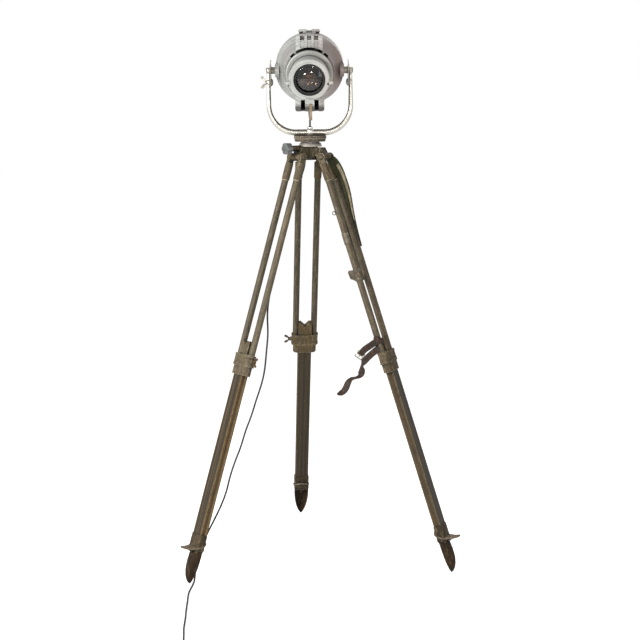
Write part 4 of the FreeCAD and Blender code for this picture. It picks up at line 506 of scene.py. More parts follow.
def cast_aluminium(name, base, warm, dark):
    """Lamp body: turned cast aluminium, ring marks about the lens axis, warm stains on one
    side, dirt with painted shade in hollows, painted shade low on the body, and black where a face
    looks at the axis, which is the inside."""
    material, w, shader = new_material(name)
    coords = object_coords(w, LAMP)
    apart = w.add("ShaderNodeSeparateXYZ", {0: coords}).outputs
    axis_height = (LAMP.to_3x3().inverted() @ Vector((0, 0, TILT_HEIGHT))).z
    up = w.minus(apart["Z"], axis_height)
    outwards = w.add("ShaderNodeCombineXYZ", {"X": apart["X"], "Z": up}).outputs[0]
    radius = w.vector("LENGTH", outwards)
    ring_vector = w.add("ShaderNodeCombineXYZ", {
        "X": radius, "Y": w.times(apart["Y"], 0.6), "Z": w.times(apart["X"], 0.03)}).outputs[0]
    rings = w.noise(ring_vector, 420.0, 4.0, 0.6)
    cloud = blotches(w, coords, 16.0, 0.5, 0.2)
    spots = blotches(w, coords, 90.0, 0.22, 0.06, 7.0)
    warm_side = w.times(w.map(apart["X"], -0.02, 0.115), w.between(cloud, 0.75, 1.0))
    face_way = w.add("ShaderNodeNewGeometry").outputs["True Normal"]
    radial = w.vector("NORMALIZE", outwards)
    outward_share = w.vector("DOT_PRODUCT", radial, turned(w, face_way, LAMP))
    near_axis = w.map(radius, BODY_RADIUS + 0.001, BODY_RADIUS - 0.001)
    inside = w.times(w.map(outward_share, -0.25, -0.55), near_axis)
    # painted shade: the lowest part of the body, under the lower ridge, is darkened
    low = w.map(up, -BODY_RADIUS + 0.016, -BODY_RADIUS - 0.002)
    colour = coated(
        w, base, (cloud, 0.7, dark), (w.map(rings, 0.36, 0.62, 0.0, 0.85), 1, dark),
        (warm_side, 1, warm), (spots, 0.6, warm),
        (edge_wear(w, coords, 0.0016, 0.5), 0.7, (214, 214, 210)),
        (hollow_dirt(w, 0.02, 0.9), 1, (52, 46, 40)), (low, 0.85, (36, 31, 28)),
        (inside, 1, (24, 21, 18)))
    height = w.plus(w.times(rings, 1.1), cast_grain(w, coords, 480.0))
    finish_shader(w, shader, colour, w.map(rings, 0.3, 0.7, 0.42, 0.62),
                  w.between(inside, 0.45, 0.0), height, 0.22, 0.0012)
    return material


def polished_yoke():
    """Polished bar, yellowed, with a painted reflection: the dull dark band that runs along its
    inner side.
    """
    material, w, shader = new_material("yoke_polish")
    coords = object_coords(w)
    inner = w.add("ShaderNodeAttribute", attribute_name="inner").outputs["Fac"]
    cloud = blotches(w, coords, 40.0, 0.4, 0.2)
    lines, height = scratches(w, coords, (1, 1, 1), 220.0, 0.3)
    wavy = w.plus(inner, w.times(cloud, 0.06))
    # painted reflection: a dull dark band along the bar's inner side
    dark_reflection_band = w.times(w.map(wavy, 0.42, 0.62), w.map(wavy, 0.96, 0.86))
    colour = coated(w, (186, 182, 173), (cloud, 0.6, (160, 154, 142)),
                    (lines, 0.3, (150, 144, 130)), (dark_reflection_band, 1, (58, 52, 42)))
    finish_shader(w, shader, colour, w.between(dark_reflection_band, 0.30, 0.55), w.between(dark_reflection_band, 0.92, 0.25),
                  height, 0.08, 0.0008)
    return material


def plain_finish(name, tone, roughness, metallic=0.0, mottle=0.25, scale=120.0):
    """Even finish with slight mottling, for small and inner pieces."""
    material, w, shader = new_material(name)
    coords = object_coords(w)
    spots = blotches(w, coords, scale, 0.5, 0.2)
    colour = srgb(tone)
    darker = tuple(value * 0.6 for value in colour[:3]) + (1.0,)
    finish_shader(w, shader, w.mix(w.times(spots, mottle), colour, darker),
                  w.between(spots, roughness, min(roughness + 0.15, 1.0)), metallic,
                  cast_grain(w, coords, 900.0), 0.1, 0.0006)
    return material


def clear_glass(name, tint):
    material, w, shader = new_material(name)
    smear = blotches(w, object_coords(w), 60.0, 0.35, 0.2)
    w.fill(shader, {"Base Color": tint, "Transmission Weight": 1.0, "IOR": 1.52,
                    "Specular IOR Level": 0.3, "Roughness": w.between(smear, 0.0, 0.05)})
    return material


BAR_HALF_WIDTH = 0.024
BODY_RADIUS = 0.113

# 8-bit screen colours
OLIVE_DARK, TAN, PALE = (56, 49, 35), (138, 122, 93), (182, 170, 144)
# each leg's tubes, castings, bar and gilt on the bar, as they differ in the photograph
LEG_TONES = {
    "left": ((90, 81, 62), (94, 84, 67), (74, 63, 44), (104, 82, 50)),
    "back": ((58, 52, 34), (90, 73, 42), (52, 43, 26), (68, 58, 38)),
    "right": ((78, 66, 48), (76, 63, 46), (46, 37, 23), (76, 62, 40)),
}

leg_paint, casting_paint, bar_wood, shoe_finish, ferrule_paint = {}, {}, {}, {}, {}
for leg, (tube_tone, casting_tone, bar_tone, gilt) in LEG_TONES.items():
    along = leg_frame(leg)
    leg_paint[leg] = worn_paint(
        "leg_paint_" + leg, (tube_tone, OLIVE_DARK, TAN, PALE), along, patches=0.26, edges=0.5,
        rough=(0.42, 0.6), lines=0.5, shine=0.36, grain_length=0.12)
    # strong hollow darkening on the castings: dirt with painted shade between parts
    casting_paint[leg] = worn_paint(
        "casting_paint_" + leg, (casting_tone, (84, 74, 56), TAN, PALE), along, patches=0.36,
        edges=0.8, metal=0.4, lines=0.2, dirt=0.9, reach=0.026)
    bar_wood[leg] = striped_bar("bar_wood_" + leg, bar_tone, (44, 35, 24), gilt, along)
    ferrule_paint[leg] = worn_paint(
        "ferrule_paint_" + leg, (bar_tone, (50, 41, 28), (128, 108, 80), (160, 142, 112)), along,
        patches=0.34, edges=0.9, metal=0.4, lines=0.3)
    shoe_finish[leg] = worn_paint(
        "shoe_finish_" + leg, ((50, 37, 23), (30, 22, 14), (92, 72, 50), (150, 124, 94)), along,
        patches=0.34, edges=0.9, metal=0.3, rough=(0.5, 0.7), lines=0.3, shine=0.15)
tread_finish = worn_paint(
    "tread_finish", ((116, 102, 84), (78, 66, 50), (150, 136, 116), (190, 176, 154)),
    patches=0.4, edges=0.9, metal=0.5, lines=0.1)
# strong, far-reaching hollow darkening: painted shade between the head's parts, with dirt
head_paint = worn_paint(
    "head_paint", ((76, 66, 47), (44, 38, 26), (142, 126, 94), PALE),
    patches=0.4, edges=0.9, metal=0.4, lines=0.15, dirt=1.0, reach=0.032)
pin_paint = worn_paint(
    "pin_paint", ((84, 76, 60), (58, 52, 40), TAN, PALE), patches=0.4, edges=0.8, metal=0.5)
disc_finish = worn_paint(
    "disc_finish", ((104, 92, 76), (72, 61, 48), (150, 138, 118), (206, 198, 184)),
    patches=0.38, edges=0.9, metal=0.5, lines=0.1)
collar_finish = old_metal(
    "collar_finish", (168, 160, 152), (122, 112, 100), 0.5, (0.4, 0.6), grain=0.25)
knob_finish = old_metal("knob_finish", (116, 118, 116), (78, 78, 74), 0.5, (0.4, 0.6),
                        stained=0.5, grain=0.3, bright=(196, 198, 202))
body_finish = cast_aluminium("body_finish", (200, 201, 197), (142, 122, 114), (146, 145, 141))
rim_finish = cast_aluminium("rim_finish", (184, 186, 182), (166, 156, 148), (146, 147, 142))
steel_finish = old_metal("steel_finish", (150, 146, 136), (96, 88, 76), 0.8)
polished_finish = old_metal(
    "polished_finish", (206, 202, 192), (160, 152, 136), 0.9, (0.16, 0.32), stained=0.3)
brass_finish = old_metal("brass_finish", (106, 84, 56), (56, 44, 30), 0.7, (0.35, 0.6),
                         stained=0.6, bright=(190, 160, 108))
dull_bright_finish = old_metal(
    "dull_bright_finish", (168, 164, 155), (96, 88, 76), 0.7, (0.35, 0.5), stained=0.5)
fitting_finish = old_metal(
    "fitting_finish", (104, 94, 76), (58, 50, 38), 0.35, (0.45, 0.6), stained=0.55)
dark_screw_finish = old_metal(
    "dark_screw_finish", (78, 72, 62), (46, 40, 32), 0.6, (0.4, 0.6), stained=0.5)
clip_finish = old_metal(
    "clip_finish", (150, 134, 110), (104, 90, 72), 0.6, (0.4, 0.6), stained=0.5)
yoke_finish = polished_yoke()
black_finish = plain_finish("black_finish", (16, 14, 12), 0.6)
inside_finish = plain_finish("inside_finish", (30, 27, 24), 0.8)
rubber_finish = plain_finish("rubber_finish", (30, 29, 28), 0.55, mottle=0.4, scale=60.0)
plug_finish = plain_finish("plug_finish", (30, 29, 28), 0.45)
porcelain_finish = plain_finish("porcelain_finish", (222, 218, 206), 0.2, mottle=0.1)
mirror_finish = plain_finish("mirror_finish", (225, 225, 225), 0.05, 1.0, mottle=0.05)
lens_finish = clear_glass("lens_finish", (0.44, 0.27, 0.15, 1.0))
bulb_finish = clear_glass("bulb_finish", (1.0, 0.98, 0.95, 1.0))
leather_finish = worn_paint(
    "leather_finish", ((50, 33, 22), (28, 19, 13), (92, 66, 46), (132, 104, 80)),
    patches=0.3, edges=0.5, rough=(0.4, 0.6), lines=0.2, scale=1.6)
stitch_thread = plain_finish("stitch_thread", (112, 92, 70), 0.8)
webbing_finish = worn_paint(
    "webbing_finish", ((66, 66, 44), (42, 42, 28), (96, 92, 66), (120, 112, 84)),
    patches=0.3, edges=0.4, rough=(0.85, 0.95), scale=1.4)
webbing_edge = worn_paint(
    "webbing_edge", ((140, 130, 104), (104, 94, 72), (170, 160, 136), PALE),
    patches=0.3, edges=0.4, rough=(0.85, 0.95), scale=1.4)

NODE_FINISH = {}
for finish, nodes in (
        (head_paint, "crown"), (pin_paint, "leg_hinge_pins"), (collar_finish, "collar"),
        (steel_finish, "pan_lock_spindle pan_spigot quadrant_plates trunnion_spacers cover_pin"),
        (steel_finish, "strap_buckle"), (knob_finish, "star_knob"), (disc_finish, "turntable_disc"),
        (polished_finish, "yoke yoke_nut"), (body_finish, "lamp_housing rear_cover"),
        (dull_bright_finish, "tilt_lock_bolts tilt_wing_nut trunnion_bolts"),
        (rim_finish, "gate_flange lens_sleeve lens_tube"), (black_finish, "gate_plate lens_ring"),
        (lens_finish, "lens"), (inside_finish, "lamp_tray"), (porcelain_finish, "lampholder"),
        (bulb_finish, "bulb"), (mirror_finish, "reflector"), (clip_finish, "lead_clip"),
        (brass_finish, "focus_screw cover_screw clamp_screw_left clamp_screw_right"),
        (dark_screw_finish, "clamp_screw_back"), (leather_finish, "leather_strap"),
        (webbing_finish, "webbing_sling"), (fitting_finish, "sling_fittings"),
        (rubber_finish, "cord_gland lamp_lead stand_lead lead_coil"), (plug_finish, "plug")):
    for node in nodes.split():
        NODE_FINISH[node] = finish
for leg in LEG_AZIMUTHS:
    NODE_FINISH["leg_tubes_" + leg] = leg_paint[leg]
    NODE_FINISH["lower_bar_" + leg] = bar_wood[leg]
    NODE_FINISH["shoe_" + leg] = shoe_finish[leg]
    for casting in ("leg_sockets_", "clamp_casting_", "bar_guide_"):
        NODE_FINISH[casting + leg] = casting_paint[leg]

for node, finish in NODE_FINISH.items():
    frame["nodes"][node].data.materials.clear()
    frame["nodes"][node].data.materials.append(finish)

BODIES = frame["record"]["behaviour"]["bodies"]
BODY_OF = {node: body for body, nodes in BODIES.items() for node in nodes}
SLOT_OF = {part["node"]: part["material_slot"] for part in frame["record"]["subparts"]}


# ---- castings with round edges
MERGE = 2e-5                   # metres between points that are one
FLAT = radians(0.6)            # most turn between faces that are one
SHARP = radians(28)            # least turn at an edge that is rounded


def rounded_copy(node, width):
    """Copy of a CAD node's mesh with its edges rounded; it stands for the node."""
    bm = bmesh.new()
    bm.from_mesh(frame["nodes"][node].data)
    bmesh.ops.remove_doubles(bm, verts=bm.verts, dist=MERGE)
    bmesh.ops.dissolve_limit(bm, angle_limit=FLAT, verts=bm.verts, edges=bm.edges)
    piece = from_bmesh(node + "_cast", bm)
    edge = piece.modifiers.new("round", "BEVEL")
    edge.width = width
    edge.segments = 2
    edge.limit_method = "ANGLE"
    edge.angle_limit = SHARP
    edge.miter_outer = "MITER_ARC"
    normals = piece.modifiers.new("even", "WEIGHTED_NORMAL")
    normals.keep_sharp = False
    return settle(piece, NODE_FINISH[node], BODY_OF[node], node, slot=SLOT_OF[node])


ROUNDED = {
    "crown": 0.0015, "star_knob": 0.0022, "tilt_wing_nut": 0.0010, "lamp_housing": 0.0016,
    "gate_flange": 0.0012, "lens_tube": 0.0012, "quadrant_plates": 0.0006, "rear_cover": 0.0010,
    "lead_clip": 0.0006, "yoke_nut": 0.0012, "turntable_disc": 0.0010, "collar": 0.0008,
}
for leg in LEG_AZIMUTHS:
    ROUNDED["leg_sockets_" + leg] = 0.0015
    ROUNDED["clamp_casting_" + leg] = 0.0014
    ROUNDED["bar_guide_" + leg] = 0.0012
    ROUNDED["clamp_screw_" + leg] = 0.0008
for node, width in ROUNDED.items():
    rounded_copy(node, width)


# ---- yoke
YOKE_HALF = 0.1355
YOKE_CORNER = 0.090
YOKE_TIP_RADIUS = 0.0052
YOKE_ELBOW_RADIUS = 0.00775
YOKE_HEEL_RADIUS = 0.01075
YOKE_BOTTOM_RADIUS = 0.011
YOKE_EYE_FACE = 0.1303
KNUCKLE_DROP = 0.039
YOKE_ARM_STEPS, YOKE_ELBOW_STEPS, YOKE_FOOT_STEPS = 8, 24, 4
YOKE_SIDES = 28


def yoke_line():
    """(point, radius, inward way) along the bar from the right tip to the left."""
    bottom = DISC_TOP + YOKE_BOTTOM_RADIUS
    elbow = bottom + YOKE_CORNER
    centre = Vector((YOKE_HALF - YOKE_CORNER, 0, elbow))
    stations = []
    for index in range(YOKE_ARM_STEPS + 1):
        share = index / YOKE_ARM_STEPS
        z = TILT_HEIGHT + (elbow - TILT_HEIGHT) * share
        radius = YOKE_TIP_RADIUS + (YOKE_ELBOW_RADIUS - YOKE_TIP_RADIUS) * share
        stations.append((Vector((YOKE_HALF, 0, z)), radius, Vector((-1, 0, 0))))
    for index in range(1, YOKE_ELBOW_STEPS + 1):
        share = index / YOKE_ELBOW_STEPS
        way = Vector((-cos(pi / 2 * share), 0, sin(pi / 2 * share)))
        radius = YOKE_ELBOW_RADIUS + (YOKE_HEEL_RADIUS - YOKE_ELBOW_RADIUS) * share
        stations.append((centre - way * YOKE_CORNER, radius, way))
    for index in range(1, YOKE_FOOT_STEPS + 1):
        share = index / YOKE_FOOT_STEPS
        radius = YOKE_HEEL_RADIUS + (YOKE_BOTTOM_RADIUS - YOKE_HEEL_RADIUS) * share
        stations.append((Vector((centre.x * (1 - share), 0, bottom)), radius, Vector((0, 0, 1))))
    flip = Matrix.Diagonal((-1, 1, 1))
    return stations + [(flip @ point, radius, flip @ way)
                       for point, radius, way in reversed(stations[:-1])]


def build_yoke_bar():
    """Bar swept along the U, with an attribute that is 1 on its inner side."""
    bm = bmesh.new()
    layer = bm.verts.layers.float.new("inner")
    rings = []
    for point, radius, inward in yoke_line():
        ring = []
        for index in range(YOKE_SIDES):
            angle = 2 * pi * index / YOKE_SIDES
            way = inward * cos(angle) + Vector((0, 1, 0)) * sin(angle)
            vert = bm.verts.new(point + way * radius)
            vert[layer] = cos(angle)
            ring.append(vert)
        rings.append(ring)
    for low, high in zip(rings, rings[1:]):
        for index in range(YOKE_SIDES):
            after = (index + 1) % YOKE_SIDES
            bm.faces.new((low[index], low[after], high[after], high[index]))
    bm.faces.new(rings[0])
    bm.faces.new(list(reversed(rings[-1])))
    bmesh.ops.recalc_face_normals(bm, faces=bm.faces)
    return bm


def lathe(bm, profile, place, segments=40):
    """Add a closed turned solid; profile is (radius, height) along z, then placed."""
    rings = []
    for radius, height in profile:
        count = segments if radius else 1
        turns = [2 * pi * index / count for index in range(count)]
        rings.append([bm.verts.new(place @ Vector((radius * cos(a), radius * sin(a), height)))
                      for a in turns])
    for low, high in zip(rings, rings[1:]):
        for index in range(segments):
            after = (index + 1) % segments
            if len(low) == 1:
                corners = (low[0], high[after], high[index])
            elif len(high) == 1:
                corners = (low[index], low[after], high[0])
            else:
                corners = (low[index], low[after], high[after], high[index])
            bm.faces.new(corners)


def towards(start, way):
    """Frame at start whose z runs along way."""
    return Matrix.Translation(start) @ Vector(way).to_track_quat("Z", "Y").to_matrix().to_4x4()


# (radius, height) of the round parts of the yoke
YOKE_BOSS = [(0, 0), (0.0132, 0), (0.0140, 0.001), (0.0140, 0.017), (0.0128, 0.0215),
             (0.0105, 0.0230), (0, 0.0235)]
YOKE_EYE = [(0, 0), (0.0088, 0), (0.0100, 0.0012), (0.0100, 0.0085), (0.0088, 0.0099), (0, 0.0099)]
KNUCKLE = [(0, 0), (0.0098, 0), (0.0110, 0.0012), (0.0110, 0.0078), (0.0098, 0.0089), (0, 0.0089)]


def build_yoke():
    bm = build_yoke_bar()
    lathe(bm, YOKE_BOSS, Matrix.Translation((0, 0, DISC_TOP)))
    for side in (1, -1):
        for profile, drop in ((YOKE_EYE, 0), (KNUCKLE, KNUCKLE_DROP)):
            lathe(bm, profile, towards((side * YOKE_EYE_FACE, 0, TILT_HEIGHT - drop), (side, 0, 0)))
    settle(from_bmesh("yoke_bar", bm), yoke_finish, "pan_head", "yoke", slot=SLOT_OF["yoke"])


build_yoke()


# ---- lens
LENS_REAR, LENS_FRONT = 0.145, 0.149    # of its rim, from the tilt axis
LENS_RADIUS, LENS_CLEAR = 0.0510, 0.0425
LENS_DOME = 0.009
LENS_STEPS = 20


def build_lens():
    """Plano-convex lens with a fine dome, so that it mirrors the lights cleanly."""
    sphere = (LENS_CLEAR ** 2 + LENS_DOME ** 2) / (2 * LENS_DOME)
    profile = [(0, LENS_REAR), (LENS_RADIUS - 0.0005, LENS_REAR), (LENS_RADIUS, LENS_REAR + 0.0005),
               (LENS_RADIUS, LENS_FRONT), (LENS_CLEAR, LENS_FRONT)]
    for index in range(1, LENS_STEPS):
        radius = LENS_CLEAR * (1 - index / LENS_STEPS)
        rise = LENS_DOME - sphere + sqrt(sphere ** 2 - radius ** 2)
        profile.append((radius, LENS_FRONT + rise))
    profile.append((0, LENS_FRONT + LENS_DOME))
    bm = bmesh.new()
    lathe(bm, profile, LAMP @ towards((0, 0, 0), (0, -1, 0)), 96)
    closed_piece("lens_glass", bm, lens_finish, BODY_OF["lens"], "lens", slot=SLOT_OF["lens"])


build_lens()

# ---- shoes
SHOE_TOP = 1.281               # this and the next three: distances down the leg
FERRULE_END = 1.329
SPOON_TOP = 1.326
SPOON_END = 1.4455
FERRULE_HALF = (0.0150, 0.0270)
SPOON_BACK = -0.010
TREAD_HEIGHT = 0.1265
TREAD_INNER_REACH = 0.030
TREAD_OUTER_REACH = 0.062
TREAD_THICKNESS = 0.0045
TREAD_HALF = 0.031
TREAD_HEEL, TREAD_TOE = 0.32, 0.14      # shares of its length that round off
TREAD_TAPER, TREAD_TAPER_FROM = 0.021, 0.45
TREAD_RISE = 0.009             # of both ends over the middle
TREAD_CAMBER = 0.003
CORNER_STEPS = 4
SPOON_STEPS = 12
SPOON_SHARES = (0, 0.08, 0.2, 0.35, 0.5, 0.65, 0.78, 0.88, 0.94, 0.98, 1.0)
# fin under the tread: (outwards from the leg's axis, up)
FIN = ((0.008, 0.0), (0.048, 0.0), (0.036, -0.008), (0.022, -0.022), (0.012, -0.040))
FIN_HALF = 0.0026
# (distance down the leg, how far the ferrule swells there)
FERRULE_PROFILE = (
    (SHOE_TOP, -0.0016), (SHOE_TOP + 0.001, -0.0006), (SHOE_TOP + 0.003, 0.0),
    (SHOE_TOP + 0.02, 0.0), (FERRULE_END - 0.006, 0.0), (FERRULE_END - 0.002, 0.0010),
    (FERRULE_END + 0.003, 0.0006), (FERRULE_END + 0.008, -0.0016))


def skin(bm, rings):
    """Closed shell over equal rings of points."""
    made = [[bm.verts.new(point) for point in ring] for ring in rings]
    count = len(made[0])
    for low, high in zip(made, made[1:]):
        for index in range(count):
            after = (index + 1) % count
            bm.faces.new((low[index], low[after], high[after], high[index]))
    bm.faces.new(list(reversed(made[0])))
    bm.faces.new(made[-1])


def round_oblong(half_x, half_y, corner, z):
    """Ring of points round a rectangle with round corners."""
    ring = []
    for quarter, (side_x, side_y) in enumerate(((1, 1), (-1, 1), (-1, -1), (1, -1))):
        for index in range(CORNER_STEPS + 1):
            angle = pi / 2 * (quarter + index / CORNER_STEPS)
            x = side_x * (half_x - corner) + corner * cos(angle)
            y = side_y * (half_y - corner) + corner * sin(angle)
            ring.append(Vector((x, y, z)))
    return ring


def spoon_ring(share):
    """Crescent across the spoon; share runs from 0 at the ferrule to 1 at the point.
    The powers and depths are fitted to the photograph."""
    narrowing = max(1 - share ** 2.7, 0.0)
    half = max(FERRULE_HALF[1] * narrowing ** 0.75, 0.0012)
    depth = 0.004 + 0.020 * narrowing ** 0.7 * (1 + 0.9 * share)
    wall = 0.0055 - 0.0025 * share
    z = -(SPOON_TOP + (SPOON_END - SPOON_TOP) * share)
    outer = []
    inner = []
    for index in range(SPOON_STEPS + 1):
        side = 2 * index / SPOON_STEPS - 1
        belly = sqrt(max(1 - side ** 2, 0.0))
        hollow = max(depth - wall, 0.0006) * belly - 0.0004
        outer.append(Vector((SPOON_BACK + depth * belly, half * side, z)))
        inner.append(Vector((SPOON_BACK + hollow, half * side * 0.86, z)))
    return outer + inner[::-1]


def add_spoon(bm, place):
    skin(bm, [[place @ point for point in spoon_ring(share)] for share in SPOON_SHARES])


def add_tread(bm, leg):
    """Dished foot plate that goes round the ferrule, wider at the leg, on a fin."""
    turn = Matrix.Rotation(radians(LEG_AZIMUTHS[leg]), 4, "Z")
    leg_radius = HINGE_RADIUS + (HINGE_HEIGHT - TREAD_HEIGHT) * tan(LEG_LEAN)
    steps = 16
    across = 6
    rings = []
    for index in range(steps + 1):
        share = index / steps
        radius = leg_radius - TREAD_INNER_REACH + (TREAD_INNER_REACH + TREAD_OUTER_REACH) * share
        heel = sqrt(max(1 - max(TREAD_HEEL - share, 0) ** 2 / TREAD_HEEL ** 2, 0.0))
        toe_share = max(share - (1 - TREAD_TOE), 0)
        toe = sqrt(max(1 - toe_share ** 2 / TREAD_TOE ** 2, 0.0))
        taper = TREAD_TAPER * max(share - TREAD_TAPER_FROM, 0) / (1 - TREAD_TAPER_FROM)
        half = max((TREAD_HALF - taper) * heel * toe, 0.0015)
        rise = TREAD_RISE * (2 * share - 1) ** 2
        top = []
        under = []
        for step in range(across + 1):
            side = 2 * step / across - 1
            z = TREAD_HEIGHT + rise - TREAD_CAMBER * side ** 2
            top.append(turn @ Vector((radius, half * side, z)))
            under.append(turn @ Vector((radius, half * side * 0.97, z - TREAD_THICKNESS)))
        rings.append(top + under[::-1])
    skin(bm, rings)
    fin = []
    for y in (-FIN_HALF, FIN_HALF):
        fin.append([turn @ Vector((leg_radius + x, y, TREAD_HEIGHT - 0.001 + z)) for x, z in FIN])
    skin(bm, fin)


def build_shoe(leg):
    place = leg_frame(leg)
    body = "leg_lower_" + leg
    bm = bmesh.new()
    add_spoon(bm, place)
    closed_piece("shoe_spoon_" + leg, bm, shoe_finish[leg], body, "shoe_" + leg, slot="shoe_steel",
                 soft=True)
    bm = bmesh.new()
    add_tread(bm, leg)
    closed_piece("shoe_tread_" + leg, bm, tread_finish, body, slot="shoe_steel", soft=True)
    bm = bmesh.new()
    half_x, half_y = FERRULE_HALF
    skin(bm, [[place @ point for point in round_oblong(half_x + more, half_y + more, 0.005, -down)]
              for down, more in FERRULE_PROFILE])
    closed_piece("shoe_ferrule_" + leg, bm, ferrule_paint[leg], body, slot="shoe_steel")


for leg in LEG_AZIMUTHS:
    build_shoe(leg)


# ---- strap and sling
POINTS_PER_SPAN = 6
BAND_STEPS = 8                 # across a band


def smooth_points(points):
    """Catmull-Rom points through chosen points of any dimension."""
    padded = [points[0]] + list(points) + [points[-1]]
    made = []
    for before, start, end, after in zip(padded, padded[1:], padded[2:], padded[3:]):
        for index in range(POINTS_PER_SPAN):
            t = index / POINTS_PER_SPAN
            made.append(tuple(
                0.5 * (2 * b + (c - a) * t + (2 * a - 5 * b + 4 * c - d) * t ** 2
                       + (3 * b - a - 3 * c + d) * t ** 3)
                for a, b, c, d in zip(before, start, end, after)))
    return made + [tuple(points[-1])]


def add_band(bm, stations, thickness, waves=0.0):
    """Flat band through (near, far) edge points, with rolled edges and soft waves."""
    rings = []
    for index, (near, far) in enumerate(stations):
        after = stations[min(index + 1, len(stations) - 1)]
        before = stations[max(index - 1, 0)]
        along = (after[0] + after[1] - before[0] - before[1]).normalized()
        face = (far - near).cross(along).normalized()
        top = []
        under = []
        for step in range(BAND_STEPS + 1):
            share = step / BAND_STEPS
            wave = face * (waves * sin(3 * pi * share + 0.35 * index))
            thin = 0.35 + 0.65 * sqrt(max(1 - (2 * share - 1) ** 4, 0.0))
            point = near.lerp(far, share) + wave
            top.append(point + face * (thickness / 2 * thin))
            under.append(point - face * (thickness / 2 * thin))
        rings.append(top + under[::-1])
    skin(bm, rings)


STRAP_HALF = 11.0              # millimetres, as the points below are
STRAP_THICK = 0.0028
# (x, y, z, turn of the band's face in degrees; 0 faces the camera)
STRAP_FROM_LEG = [(224, -143, 781, 8), (210, -147, 772, 5), (190, -149, 759, 0),
                  (172, -149, 746, -6), (158, -147, 729, -12)]
STRAP_TO_TAIL = [
    (226, -141, 754, 12), (208, -144, 741, 6), (188, -146, 724, 0), (173, -145, 708, 20),
    (166, -142, 695, 72), (166, -140, 680, 38), (163, -139, 667, 12), (156, -138, 656, 62),
    (144, -138, 651, 78), (130, -138, 647, 66), (119, -138, 634, 30), (111, -139, 616, 16),
    (100, -140, 603, 40), (82, -141, 596, 60),
]
# sling's edges in the right leg's frame: (x outward, y, distance down)
SLING_NEAR_EDGE = [(-14, 24, -6), (-6, 16, 20), (2, 13, 48), (16, 13, 80), (17, 14, 134),
                   (17, 16, 204), (17, 18, 262), (17, 20, 318)]
SLING_FAR_EDGE = [(0, 25, -14), (25, 25, 12), (36, 25, 44), (40, 24, 80), (40, 24, 133),
                  (31, 22, 204), (26, 21, 255), (23, 21, 318)]
SLING_THICK = 0.0035


def strap_stations(route):
    """Edge pairs of a hanging strap that runs in the plane facing the camera and twists."""
    points = smooth_points(route)
    stations = []
    for index, (x, y, z, turn) in enumerate(points):
        after = Vector(points[min(index + 1, len(points) - 1)][:3])
        before = Vector(points[max(index - 1, 0)][:3])
        along = (after - before).normalized()
        flat = along.cross(Vector((0, -1, 0))).normalized()
        flat.rotate(Matrix.Rotation(radians(turn), 3, along))
        centre = Vector((x, y, z)) * MM
        end_taper = min((len(points) - 1 - index) / 4, 1) if route is STRAP_TO_TAIL else 1
        half = STRAP_HALF * MM * (0.35 + 0.65 * end_taper)
        stations.append((centre - flat * half, centre + flat * half))
    return stations


def band_piece(name, runs, finish, *nodes, slot="green_webbing"):
    """Piece of the right leg out of flat bands, each (stations, thickness, waves)."""
    bm = bmesh.new()
    for run in runs:
        add_band(bm, *run)
    closed_piece(name, bm, finish, "leg_upper_right", *nodes, slot=slot)


RIGHT_LEG = leg_frame("right")


def on_right_leg(x, y, down):
    """Point in the right leg's frame, in millimetres from its hinge."""
    return RIGHT_LEG @ (Vector((x, y, -down)) * MM)


LOOP_STEPS = 24
LOOP_START, LOOP_TURN = -190, 260       # degrees round the near tube
LOOP_DOWN = 0.640
LOOP_GAP = 0.0022              # from the tube's skin to the middle of the strap
LOOP_SLANT = 0.012
LOOP_APART = Vector((0.006, 0, -0.030))


def tube_loop():
    """Edge pairs of the strap's first turn round the near tube."""
    half = Vector((0, 0, STRAP_HALF * MM))
    loop = []
    for index in range(LOOP_STEPS + 1):
        angle = radians(LOOP_START + LOOP_TURN * index / LOOP_STEPS)
        ring = Vector((cos(angle), sin(angle), 0)) * (TUBE_RADIUS + LOOP_GAP)
        middle = Vector((0, -TUBE_Y, -LOOP_DOWN - LOOP_SLANT * sin(angle))) + ring
        loop.append((RIGHT_LEG @ (middle - half), RIGHT_LEG @ (middle + half)))
    return loop


def build_strap():
    upper = strap_stations(STRAP_FROM_LEG)
    lower = strap_stations(STRAP_TO_TAIL)
    loop = tube_loop()
    lower_loop = [(near + LOOP_APART, far + LOOP_APART) for near, far in loop]
    runs = [(run, STRAP_THICK) for run in (upper, lower, loop, lower_loop)]
    band_piece("strap_leather", runs, leather_finish, "leather_strap", slot="dark_leather")
    return upper, lower


BUCKLE_HALF_LONG, BUCKLE_HALF_WIDE = 0.011, 0.0125
WIRE_RADIUS = 0.0019
PRONG_LIFT = (0.002, 0.0035)   # of its root and its point


def build_buckle(end):
    """Wire frame with a middle bar and a prong, set on the end of the strap's upper run."""
    near, far = end
    centre = (near + far) / 2
    across = (far - near).normalized()
    along = across.cross(Vector((0, -1, 0))).normalized()
    half_long, half_wide = along * BUCKLE_HALF_LONG, across * BUCKLE_HALF_WIDE
    corners = ((-1, -1), (1, -1), (1, 1), (-1, 1))
    points = [centre + half_long * a + half_wide * b for a, b in corners]
    runs = list(zip(points, points[1:] + points[:1]))
    runs.append((centre - half_wide, centre + half_wide))
    root, point = (Vector((0, -lift, 0)) for lift in PRONG_LIFT)
    runs.append((centre + root, centre - half_long + point))
    bm = bmesh.new()
    for start, end_point in runs:
        way = end_point - start
        wire = [(0, -0.0017), (WIRE_RADIUS - 0.0005, -0.0014), (WIRE_RADIUS, 0)]
        wire += [(radius, way.length - height) for radius, height in reversed(wire)]
        lathe(bm, wire, towards(start, way), 10)
    closed_piece("buckle_wire", bm, steel_finish, "leg_upper_right", "strap_buckle",
                 slot="dull_steel")


TAPE_SPAN = slice(10, 34)      # stations of the sling that have the pale edge tape
TAPE_EDGES = (0.60, 0.92)
TAPE_LIFT = 0.0045
TAPE_THICK = 0.002


